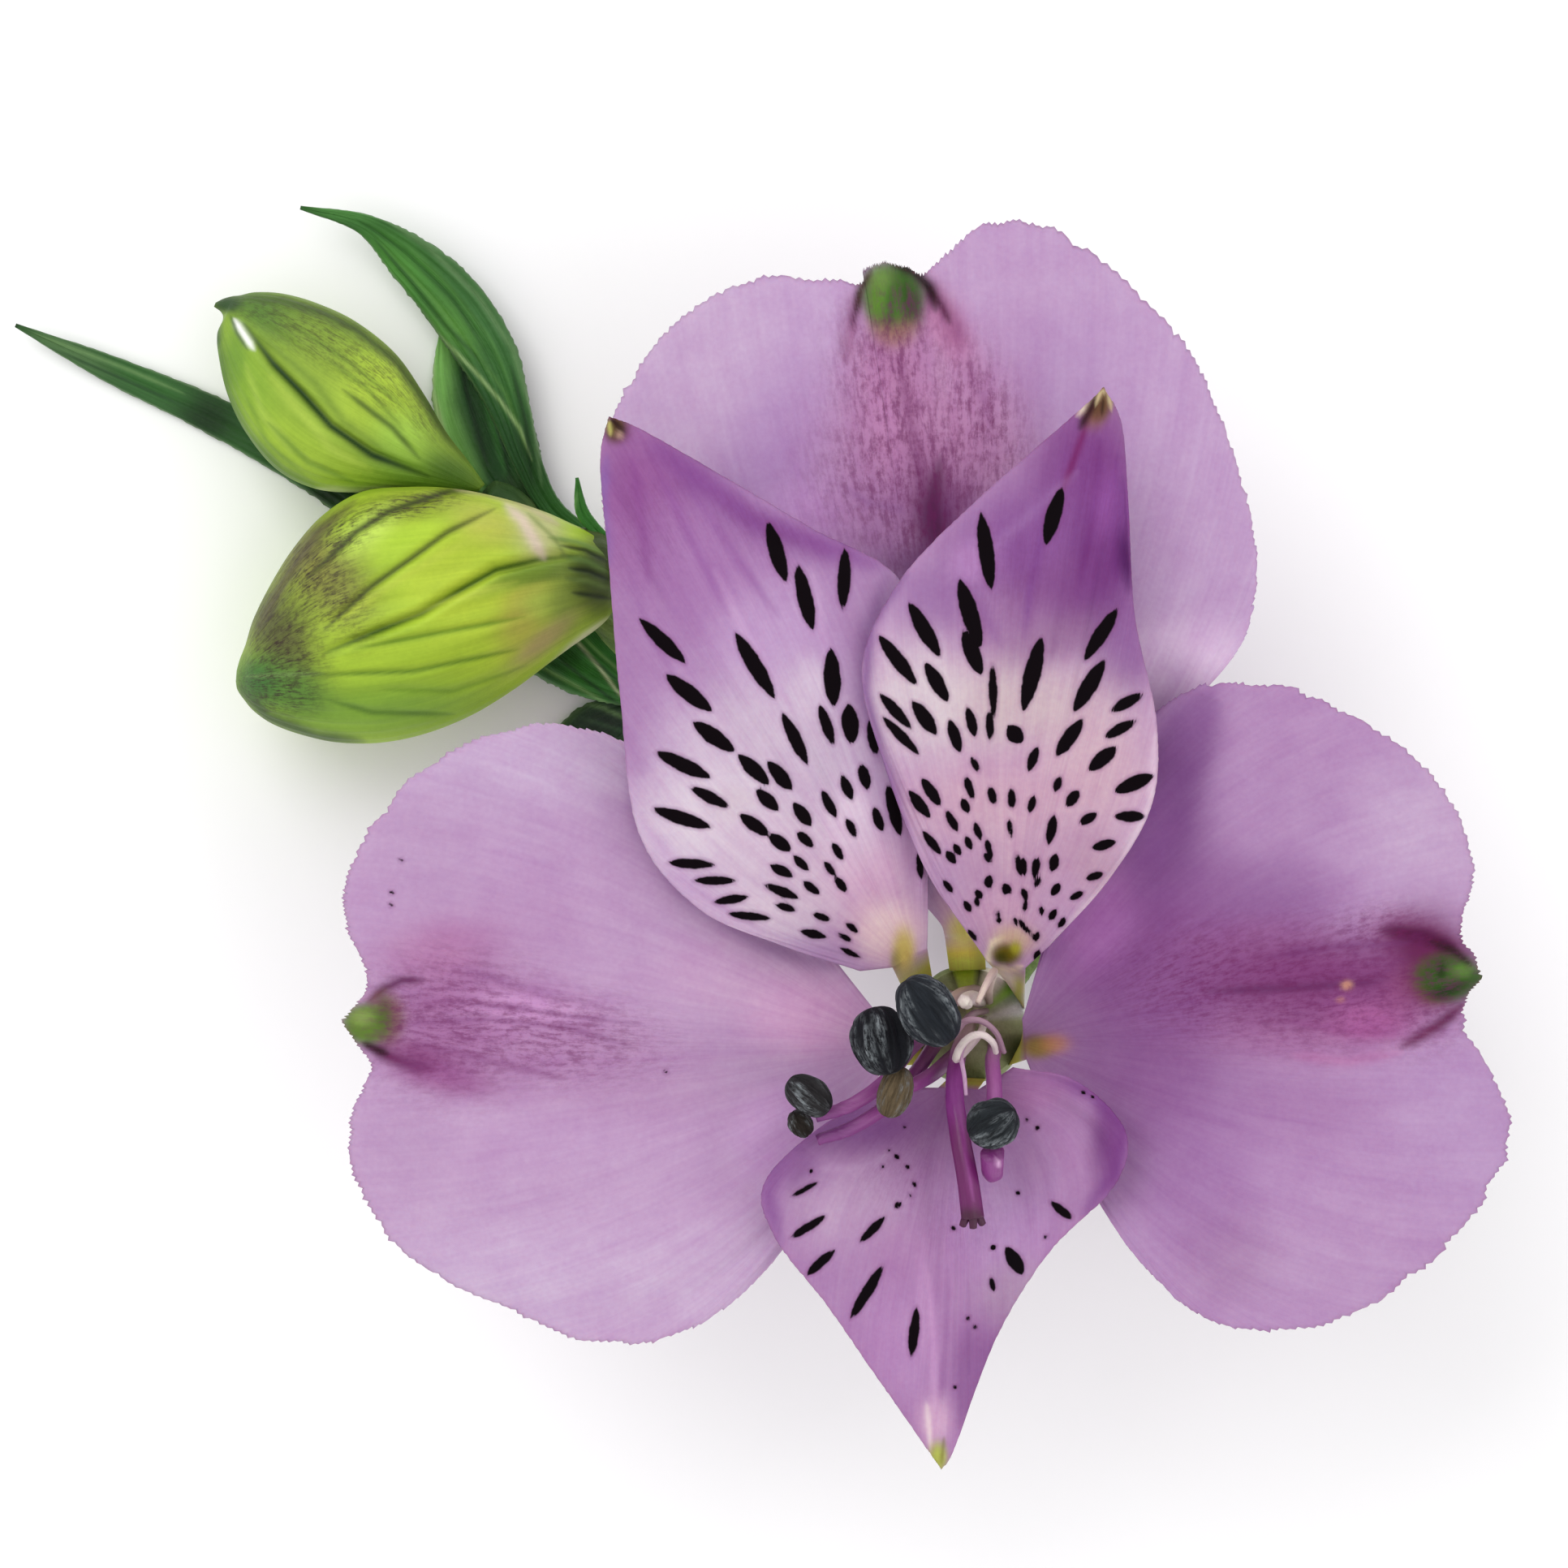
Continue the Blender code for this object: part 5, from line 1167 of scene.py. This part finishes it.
# Leaves: a spine of plan place, height and half width from the foot to the tip.
LEAVES = {
    "leaf_long": dict(
        spine=[
            (-19.3, 19.9, 1.9, 0.7), (-20.9, 20.4, 1.6, 1.2), (-22.9, 21.6, 1.5, 2.0),
            (-25.0, 23.2, 1.1, 2.5), (-28.0, 25.5, 0.35, 2.5), (-32.1, 28.5, 0.35, 2.3),
            (-37.5, 32.4, 0.35, 1.7), (-42.4, 35.1, 0.35, 1.3), (-46.8, 37.3, 0.35, 1.1),
            (-52.2, 39.7, 0.6, 0.8), (-57.6, 42.2, 1.4, 0.12),
        ],
        fold=0.0, roll=0, ground=(50, 94, 44),
        marks=[
            ((190, 475, 60, 16, 25), (66, 116, 58), 0.7), ((90, 435, 60, 12, 25), (96, 132, 82), 0.7),
            ((255, 515, 34, 30, 25), (20, 50, 18), 0.9), ((720, 812, 70, 50, 40), (62, 140, 50), 0.9),
            ((706, 806, 16, 16), (40, 92, 34), 0.8), ((180, 468, 50, 12, 25), (44, 98, 34), 0.6),
            ((400, 612, 40, 12), (24, 42, 24), 0.9), ((680, 820, 20, 30), (44, 82, 48), 0.7),
            ([(692, 768), (737, 820), (770, 864), 2.4], (214, 230, 176), 0.9),
            ([(712, 778), (740, 806), (774, 836), 2.5], (124, 168, 92), 0.6),
            ([(660, 818), (712, 846), (766, 878), 2.5], (142, 186, 112), 0.6),
            ([(676, 800), (720, 836), (768, 872), 2.5], (24, 58, 26), 0.7),
            ([(704, 790), (740, 820), (772, 848), 2.5], (26, 60, 28), 0.7),
            ((750, 770, 24, 20), (30, 56, 28), 0.7),
            ([(40, 410), (150, 452), (230, 486), 2.5], (120, 158, 98), 0.6),
            ([(60, 428), (150, 466), (240, 506), 2.5], (30, 66, 32), 0.7),
        ]),
    "leaf_support": dict(
        spine=[
            (-18.5, 19.2, 1.4, 0.6), (-19.3, 18.3, 0.9, 1.0), (-20.9, 17.5, 0.35, 2.7),
            (-22.9, 15.0, 0.35, 3.3), (-24.9, 9.6, 0.35, 2.9), (-27.2, 3.0, 0.35, 2.6),
            (-28.2, -4.3, 0.35, 1.8), (-27.4, -10.4, 0.35, 0.15),
        ],
        fold=0.0, roll=0, ground=(40, 74, 38),
        marks=[
            ((745, 892, 40, 20), (24, 40, 26), 0.9),
            ([(712, 864), (744, 872), (776, 888), 3], (110, 146, 88), 0.7),
            ([(716, 884), (746, 894), (776, 904), 3], (62, 92, 60), 0.6),
        ]),
    "leaf_arching": dict(
        spine=[
            (-18.2, 21.9, 2.6, 0.5), (-18.5, 23.0, 2.6, 0.6), (-19.8, 25.6, 2.0, 0.6),
            (-22.3, 28.7, 1.8, 0.6), (-25.2, 31.1, 1.9, 0.7), (-26.7, 34.0, 2.2, 0.9),
            (-27.8, 37.3, 2.3, 1.3), (-29.0, 40.3, 2.3, 1.8), (-31.1, 43.5, 2.2, 1.9),
            (-33.8, 46.2, 2.3, 1.5), (-36.6, 48.3, 2.8, 0.65), (-40.4, 49.3, 3.6, 0.12),
        ],
        fold=0.0, roll=-10, ground=(52, 104, 44),
        marks=[
            ((500, 330, 60, 24, 45), (82, 146, 56), 0.8), ((560, 404, 44, 24, 50), (86, 144, 56), 0.85),
            ((596, 400, 50, 12, 50), (60, 112, 54), 0.6), ((620, 480, 26, 56, -25), (60, 112, 50), 0.7),
            ((650, 566, 24, 60, -10), (32, 70, 28), 0.9), ((420, 262, 40, 10, 10), (84, 146, 68), 0.8),
            ([(470, 268), (530, 306), (590, 366), (632, 430), (657, 510), (668, 600), 4], (120, 156, 104),
             0.5), ([(440, 270), (500, 310), (560, 370), (604, 440), 3], (36, 82, 34), 0.6),
            ([(470, 300), (530, 364), (576, 420), (624, 486), (652, 560), 3], (100, 152, 68), 0.4),
            ([(460, 292), (506, 346), (548, 400), (600, 452), 3], (34, 78, 32), 0.7),
            ([(500, 300), (556, 356), (606, 420), (636, 490), 3], (92, 146, 66), 0.35),
            ([(546, 424), (590, 482), (622, 530), (644, 600), 13], (28, 72, 28), 0.7),
            ([(533, 405), (558, 430), (584, 456), (617, 494), (641, 528),
              (656, 568), 2.5], (164, 196, 128), 0.7),
            ([(630, 450), (648, 520), (656, 600), 3], (26, 58, 26), 0.7),
        ]),
    "leaf_folded": dict(
        spine=[
            (-19.0, 21.4, 1.7, 0.4), (-19.7, 22.4, 0.9, 0.5), (-22.0, 26.0, 0.4, 0.6),
            (-24.4, 29.0, 0.35, 0.7), (-26.4, 31.2, 0.35, 1.2), (-28.0, 33.4, 0.35, 2.4),
            (-29.4, 36.4, 0.35, 2.8), (-30.6, 39.5, 0.35, 2.0), (-31.8, 42.2, 0.35, 0.2),
        ],
        fold=0.1, roll=0, ground=(34, 80, 32),
        marks=[
            # The broad pale strip and the pale line on the left margin are a painted highlight where the
            # edge turns up to the light; the dark strips beside them are painted shade under the arching
            # leaf.
            ([(544, 392), (541, 440), (544, 500), (564, 556), (596, 606), 17], (128, 188, 92), 1.0),
            ([(572, 420), (586, 500), (608, 590), 12], (26, 66, 22), 0.8),
            ([(534, 424), (532, 480), (548, 540), (588, 598), 3.5], (190, 214, 150), 0.8),
            ([(566, 420), (574, 480), (602, 576), 4], (20, 46, 20), 0.9),
            ([(580, 430), (600, 500), (624, 590), 4], (58, 116, 50), 0.7),
            ([(600, 450), (626, 520), (640, 600), 4], (64, 118, 54), 0.7),
            ([(590, 440), (614, 520), (632, 600), 2.5], (20, 46, 20), 0.7),
            ((634, 606, 20, 22), (52, 74, 36), 0.6),
        ]),
    "leaf_bract": dict(
        spine=[(-21.2, 28.6, 6.9, 0.32), (-22.5, 29.8, 7.2, 0.36), (-23.4, 31.0, 7.4, 0.4),
               (-23.7, 33.0, 7.6, 0.1)],
        fold=0.1, roll=0, ground=(58, 126, 46), marks=[
            ([(700, 650), (708, 625), (712, 605), 3], (120, 176, 96), 0.6),
        ]),
}
LEAF = 0.5
LEAF_FLOOR = 0.35
LEAF_HAIRS = 0.07
LEAF_GROOVE = 0.14
LEAF_RIBS = 0.035
LEAF_STEPS = 16
LEAF_COLUMNS = 42
# The tone of the painted highlight along each leaf's rim.
LEAF_RIM_HIGHLIGHT = (150, 178, 132)


def leaf_shape(name, form):
    """Points and faces of a leaf, and each point's vein places: across, along and side."""
    line = smooth(form["spine"], LEAF_STEPS)
    roll = math.radians(form["roll"])
    ahead = np.gradient(line[:, :2], axis=0)
    ahead /= np.hypot(*ahead.T)[:, None]
    share = np.linspace(-1, 1, LEAF_COLUMNS + 1)[None, :]
    half = line[:, 3:4]
    reach = share * half * math.cos(roll)
    chance = np.random.default_rng(sum(map(ord, name)))
    hairs = LEAF_HAIRS * chance.uniform(-1, 1, line[:, :1].shape) * (np.abs(share) == 1)
    hairs = hairs * np.clip(half / 2, 0, 1)
    x = line[:, 0:1] - ahead[:, 1:2] * (reach + hairs)
    y = line[:, 1:2] + ahead[:, 0:1] * (reach + hairs)
    middle = line[:, 2:3] + share * half * math.sin(roll) + form["fold"] * np.abs(share) * half
    middle = np.maximum(middle, LEAF_FLOOR)
    groove = LEAF_GROOVE * np.exp(-((share / 0.09) ** 2)) * np.clip(half, 0, 1)
    ribs = LEAF_RIBS * np.cos(share * math.pi * 7) * np.clip(half - 0.3, 0, 1)
    thick = LEAF / 2 * np.sqrt(np.clip(1 - share**6, 0, 1))
    from_end = np.minimum(np.arange(len(line)), np.arange(len(line))[::-1])
    ends = np.sqrt(np.clip(from_end / 3, 0, 1))[:, None]
    upper = middle + (thick + ribs - groove) * ends
    lower = middle - thick * ends

    # Both sides share their rim.
    count, width = middle.shape
    top = np.arange(count * width).reshape(count, width)
    below = top + count * width
    below[0], below[-1] = top[0], top[-1]
    below[:, 0], below[:, -1] = top[:, 0], top[:, -1]
    over = np.stack([top[:-1, :-1], top[:-1, 1:], top[1:, 1:], top[1:, :-1]], -1).reshape(-1, 4)[:, ::-1]
    under = np.stack([below[:-1, :-1], below[:-1, 1:], below[1:, 1:], below[1:, :-1]], -1).reshape(-1, 4)
    used = np.unique(np.concatenate([over, under]))
    renumber = np.zeros(2 * count * width, int)
    renumber[used] = np.arange(len(used))
    points = np.concatenate([spot(x, y, upper).reshape(-1, 3), spot(x, y, lower).reshape(-1, 3)])
    across = np.broadcast_to(share, (count, width)).ravel()
    along = np.broadcast_to(np.linspace(0, 1, count)[:, None], (count, width)).ravel()
    vein = np.stack([across, along, 0 * along], 1)
    vein = np.concatenate([vein, vein + (0, 0, 1)])
    return points[used], [renumber[over], renumber[under]], vein[used]


def leaf(name, form, material):
    points, faces, vein = leaf_shape(name, form)
    hue = painted(*seen(points), form["ground"], form["marks"])
    # A pale band along the rim is a painted highlight.
    rim = (np.clip((np.abs(vein[:, 0]) - 0.88) * 8, 0, 1) * 0.35)[:, None]
    hue = hue * (1 - rim) + tone(*LEAF_RIM_HIGHLIGHT) * PAINT * rim
    net = np.zeros(len(points))
    piece = raise_mesh("look_" + name, points, faces, material, hue=hue, vein=vein, net=net)
    stands_for(piece, name)


leaf_skin = painted_material(
    "leaf_skin", roughness=0.45, specular=0.25, broad_scale=(7.0, 3.0, 1.0), fine_scale=(26.0, 12.0, 1.0),
    streak=0.25, speck=(30, 60, 28), speck_scale=(9.0, 40.0, 1.0), depth=0.00012, tint=(1.0, 0.9, 1.1))
for name, form in LEAVES.items():
    leaf(name, form, leaf_skin)


# Stamens: where each filament stands on its ring, its route of plan places and heights up to the anther, the
# anther's middle and half sizes, the way it points, and how much the filament swells towards its end.
STAMENS = {
    1: dict(stands=80, route=[(-0.6, 1.7, 22), (-1.6, 0.9, 30), (-2.35, 0.55, 36.0)], swell=0.0,
            anther=(-2.5, 0.8, 38.0), half=(2.35, 1.65, 1.6), points=(-0.55, 0.75, 0.3),
            colour=(32, 36, 42)),
    2: dict(stands=125, route=[(-2.0, 0.8, 22), (-3.2, -0.2, 29), (-4.65, -0.8, 33.1)], swell=0.0,
            anther=(-5.3, -1.0, 35.2), half=(2.1, 1.75, 1.8), points=(0.25, -0.95, 0.2),
            colour=(17, 18, 24)),
    3: dict(stands=165, swell=0.0,
            route=[(-2.5, -0.4, 22), (-3.7, -1.6, 28.4), (-5.2, -3.5, 31.2), (-7.2, -4.9, 31.9),
                   (-9.3, -5.6, 32.0)],
            anther=(-9.7, -4.3, 33.6), half=(1.55, 1.08, 1.05), points=(0.75, -0.55, 0.1),
            colour=(40, 38, 40)),
    4: dict(stands=320, swell=0.85,
            route=[(1.5, -1.7, 22), (1.4, -2.2, 27.6), (1.5, -3.8, 30.3), (1.5, -6.0, 31.0),
                   (1.4, -8.3, 31.7), (1.4, -8.9, 32.8), (1.4, -7.8, 34.2)],
            anther=(1.4, -6.0, 35.2), half=(1.6, 1.42, 1.45), points=(0.8, 0.5, 0.3),
            colour=(34, 38, 42)),
    5: dict(stands=245, swell=0.0,
            route=[(-1.3, -2.2, 22), (-2.2, -3.0, 28.3), (-3.2, -3.6, 31.4), (-3.9, -3.9, 32.3)],
            anther=(-4.5, -4.1, 34.2), half=(1.6, 1.0, 1.0), points=(0.3, 0.9, 0.2),
            colour=(96, 82, 62)),
    6: dict(stands=205, swell=0.0,
            route=[(-2.3, -1.5, 22), (-3.4, -3.1, 28.3), (-5.0, -4.9, 30.6), (-7.2, -6.3, 31.3),
                   (-9.2, -7.0, 31.3)],
            anther=(-10.2, -6.0, 32.2), half=(0.95, 0.7, 0.7), points=(-0.4, 0.6, 0.5),
            colour=(40, 34, 30)),
}
FILAMENT_RING = 2.0
FILAMENT_RADIUS = 0.45
FILAMENT_GROUND = (140, 66, 134)
STALK_STEPS = 16
STALK_SIDES = 24
ANTHER_RINGS = 60
ANTHER_SIDES = 96


def stalk(route, radius):
    """Rings along a smooth route of plan places and heights; radius(share) gives their size."""
    line = smooth(route, STALK_STEPS)
    size = radius(np.linspace(0, 1, len(line)))
    upright = (0.93, 0.36, 0.05)
    return rings_along(np.column_stack([line, size, size]), STALK_SIDES,
                       lambda turn, share: 1 + 0.04 * np.cos(5 * turn), upright)


def filament(number, form, material):
    stands = math.radians(form["stands"])
    start = (FILAMENT_RING * math.cos(stands), FILAMENT_RING * math.sin(stands), BLOOM_FOOT)

    def radius(share):
        return FILAMENT_RADIUS * (1.0 - 0.25 * share**6 + form["swell"] * share**3)

    rings = stalk([start, *form["route"]], radius)
    piece = round_piece(f"look_filament_{number}", *rings, FILAMENT_GROUND, STALK_MARKS, material)
    stands_for(piece, f"filament_{number}")


def anther(number, form, material):
    long, wide, high = form["half"]
    points = np.array(form["points"]) / np.linalg.norm(form["points"])
    turn = math.pi * np.linspace(0.03, 0.97, ANTHER_RINGS)
    middle = np.array(form["anther"]) - points * long * np.cos(turn)[:, None]
    spine = np.column_stack([middle, wide * np.sin(turn) ** 0.8, high * np.sin(turn) ** 0.8])
    upright = (0.3, 0.4, 1) if abs(points[2]) < 0.7 else (0, 1, 0)

    def relief(turn, share):
        lobes = 1 - 0.22 * np.abs(np.sin(turn - 0.4)) ** 16
        bent = 11 * turn + 1.6 * np.sin(5 * share + number) + 0.7 * np.sin(13 * share)
        ridges = 0.055 * np.cos(bent) + 0.03 * np.cos(23 * turn + 8 * share)
        lumps = 0.045 * np.cos(3 * turn + 9 * share + number)
        return lobes + ridges * np.sin(math.pi * share) - lumps

    rings, turn, share = rings_along(spine, ANTHER_SIDES, relief, upright)
    piece = round_piece(f"look_anther_{number}", rings, turn, share, form["colour"], [], material)
    # The netting lies on the crests, where its pale speck is a painted highlight.
    crest_highlight = np.clip((capped(relief(turn, share)) - 0.95) * 6, 0, 1).astype(np.float32)
    piece.data.attributes["net"].data.foreach_set("value", crest_highlight)
    stands_for(piece, f"anther_{number}")


STALK_MARKS = [
    ((1195, 1240, 60, 44), (214, 190, 176), 0.7), ((1120, 1345, 60, 30), (150, 74, 140), 0.5),
    ((1175, 1350, 30, 40), (150, 62, 150), 0.9), ((1190, 1430, 30, 60), (104, 20, 90), 0.95),
    ((1222, 1320, 10, 40), (186, 110, 176), 0.8), ((1222, 1436, 18, 26), (142, 62, 138), 0.9),
    # The pale stroke at (1228, 1420) is a painted highlight on the swollen end of filament 4.
    ([(1228, 1420), (1232, 1440), 3], (226, 176, 220), 0.8), ((1195, 1500, 24, 12), (66, 12, 48), 0.95),
    ([(1182, 1360), (1190, 1420), (1200, 1480), 3], (170, 84, 164), 0.5),
    ((1010, 1392, 50, 20), (120, 56, 124), 0.8),
]
# The anther skin's pale grey speck, laid on the crests, is a painted highlight.
anther_skin = painted_material(
    "anther_skin", roughness=0.75, specular=0.15, broad_scale=(7.0, 3.0, 7.0), fine_scale=(24.0, 12.0, 24.0),
    streak=0.5, speck=(130, 136, 140), speck_scale=(14.0, 9.0, 14.0), depth=0.00016)
stalk_skin = painted_material(
    "stalk_skin", roughness=0.35, specular=0.4, broad_scale=(3.0, 9.0, 3.0), fine_scale=(9.0, 40.0, 9.0),
    streak=0.12, speck=(70, 10, 60), speck_scale=(8.0, 30.0, 8.0), depth=0.00004, tint=(0.8, 1.4, 0.8))
for number, form in STAMENS.items():
    anther(number, form, anther_skin)
    filament(number, form, stalk_skin)


# The style ends in three small lobes. Pale threads, each a route, a radius and a tone, curl over the throat
# beside it.
STYLE = [(0, 0, BLOOM_FOOT), (-0.2, -0.5, 22), (-0.7, -1.9, 28.3), (-0.9, -4.2, 31.2), (-0.6, -6.6, 32.2),
         (-0.1, -9.4, 32.6), (0.2, -11.7, 32.5)]
STYLE_GROUND = (112, 30, 100)
LOBE_GROUND = (70, 14, 52)
LOBES = [[(0.05, -10.9, 32.6), (-0.2, -11.6, 32.6), (-0.42, -12.15, 32.3)],
         [(0.1, -10.9, 32.6), (0.2, -11.6, 32.8), (0.22, -12.3, 32.6)],
         [(0.15, -10.9, 32.6), (0.5, -11.5, 32.6), (0.78, -12.05, 32.2)]]
THREADS = [
    ([(0.9, 0.3, 14.6), (0.6, -0.6, 24.0), (-0.75, -2.1, 31.5), (-0.5, -1.3, 33.0), (0.1, -0.75, 33.6),
      (0.8, -0.65, 33.6), (1.4, -1.1, 33.0), (1.6, -1.7, 31.8)], 0.24, (232, 216, 212)),
    ([(1.0, 0.8, 14.6), (0.0, 0.5, 23.0), (-0.95, -0.7, 30.6), (-0.3, 0.15, 32.2), (0.7, 0.2, 32.4),
      (1.6, -0.5, 31.6), (2.1, -1.7, 30.0)], 0.2, (168, 132, 150)),
    ([(0.6, 1.4, 14.6), (0.2, 1.6, 24.0), (-0.3, 1.4, 30.4), (-0.1, 1.2, 31.2)], 0.45, (228, 214, 206)),
    ([(1.2, 1.4, 14.6), (1.2, 2.2, 22.0), (1.5, 3.2, 26.0), (1.1, 2.6, 29.6), (0.5, 1.3, 31.0)],
     0.24, (222, 200, 188)),
    ([(0.2, -0.6, 14.6), (-0.1, -1.0, 25.0), (-0.5, -1.8, 31.6), (-0.3, -3.2, 33.0), (-0.2, -4.3, 33.2)],
     0.14, (216, 170, 208)),
]


def joined(name, parts, material):
    """One mesh of several round pieces: rings, turn, share, ground and marks of each."""
    points, quads, ends, hues, veins = [], [], [], [], []
    count = 0
    for rings, turn, share, ground, marks in parts:
        places, (sides, tips) = lofted(rings)
        points.append(places)
        quads.append(sides + count)
        ends.append(tips + count)
        hues.append(painted(*seen(places), ground, marks))
        veins.append(around_axis(turn, share))
        count += len(places)
    return raise_mesh(name, np.concatenate(points), [np.concatenate(quads), np.concatenate(ends)], material,
                      hue=np.concatenate(hues), vein=np.concatenate(veins), net=np.zeros(count))


def style(material):
    parts = [(*stalk(STYLE, lambda share: 0.42 + 0.27 * share), STYLE_GROUND, STALK_MARKS)]
    for route in LOBES:
        parts.append((*stalk(route, lambda share: 0.34 - 0.12 * share), LOBE_GROUND, []))
    for route, size, ground in THREADS:
        parts.append((*stalk(route, lambda share, size=size: size * (1 - 0.3 * share**4)), ground, []))
    stands_for(joined("look_style", parts, material), "style")


style(stalk_skin)


# The stem keeps the model's shape, finely remeshed and rounded.

STEM_VOXEL = 0.0003
STEM_SMOOTHINGS = 8
# The stem's turn in plan, which its streaks follow, and its tones: dark, light and blotched.
STEM_TURN = 31.6
STEM_TONES = ((84, 112, 50), (122, 148, 78), (84, 92, 60))


def stem_material():
    material, shader = new_material("stem_skin", 0.45, Specular_IOR_Level=0.3)
    dark, light, blotched = ((*tone(*srgb), 1) for srgb in STEM_TONES)
    place = node(material, "ShaderNodeTexCoord").outputs["Object"]
    blotches = noise(material, stretched(material, place, (900.0, 900.0, 900.0)), 1.0)
    turned = node(material, "ShaderNodeVectorRotate", {"rotation_type": "Z_AXIS"}, Vector=place,
                  Angle=math.radians(STEM_TURN)).outputs[0]
    streaks = noise(material, stretched(material, turned, (120.0, 1900.0, 1900.0)), 1.0)
    colour = mixed(material, spread(material, streaks, 0.35, 0.65), dark, light)
    colour = mixed(material, spread(material, blotches, 0.55, 0.75, 0.0, 0.5), colour, blotched)
    material.node_tree.links.new(colour, shader.inputs["Base Color"])
    bumped(material, shader, streaks, 0.0001)
    return material


def stem():
    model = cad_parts["stem"]
    mesh = model.data.copy()
    mesh.materials.clear()
    mesh.materials.append(stem_material())
    piece = bpy.data.objects.new("look_stem", mesh)
    piece.matrix_world = model.matrix_world.copy()
    bpy.context.scene.collection.objects.link(piece)
    rounded = piece.modifiers.new("round", "REMESH")
    rounded.mode = "VOXEL"
    rounded.voxel_size = STEM_VOXEL
    soften = piece.modifiers.new("soften", "SMOOTH")
    soften.iterations = STEM_SMOOTHINGS
    stands_for(piece, "stem")


stem()


# Stage, light and camera.

FLOOR_HALF = 2.0
FLOOR_HEIGHT = -0.0001
WORLD_STRENGTH = 0.92
SENSOR = 36.0


def lay_floor():
    """A pale square under the stem, a hair below the surface."""
    square = ((-1, -1), (1, -1), (1, 1), (-1, 1))
    corners = [(x * FLOOR_HALF, y * FLOOR_HALF, FLOOR_HEIGHT) for x, y in square]
    mesh = bpy.data.meshes.new("floor")
    mesh.from_pydata(corners, [], [(0, 1, 2, 3)])
    pale, shader = new_material("pale_floor", 0.9)
    shader.inputs["Base Color"].default_value = (0.95, 0.95, 0.95, 1)
    mesh.materials.append(pale)
    floor = bpy.data.objects.new("floor", mesh)
    bpy.context.scene.collection.objects.link(floor)


def light_all_round():
    world = bpy.data.worlds.new("studio")
    world.use_nodes = True
    background = world.node_tree.nodes["Background"]
    background.inputs["Color"].default_value = (1, 1, 1, 1)
    background.inputs["Strength"].default_value = WORLD_STRENGTH
    bpy.context.scene.world = world


def lamp(name, place, size, power):
    """A square lamp that points at the middle of the part."""
    data = bpy.data.lights.new(name, "AREA")
    data.size = size
    data.energy = power
    made = bpy.data.objects.new(name, data)
    made.location = place
    made.rotation_euler = (-Vector(place)).to_track_quat("-Z", "Y").to_euler()
    bpy.context.scene.collection.objects.link(made)


def look_down():
    """A camera at the eye, which sees the whole picture at the height of the bloom's face."""
    camera = bpy.data.objects.new("camera", bpy.data.cameras.new("camera"))
    camera.location = spot(np.array(EYE[0]), np.array(EYE[1]), np.array(EYE_HEIGHT))
    camera.data.sensor_width = SENSOR
    camera.data.lens = SENSOR * (EYE_HEIGHT - FACE_HEIGHT) / (PICTURE * UNIT)
    camera.data.clip_start = 0.01
    camera.data.clip_end = 10.0
    bpy.context.scene.collection.objects.link(camera)
    bpy.context.scene.camera = camera
    bpy.context.scene.view_settings.view_transform = "Standard"


lay_floor()
light_all_round()
lamp("key", place=(-0.35, 0.45, 0.75), size=0.6, power=2.8)
lamp("fill", place=(0.5, -0.3, 0.7), size=0.8, power=1.6)
look_down()
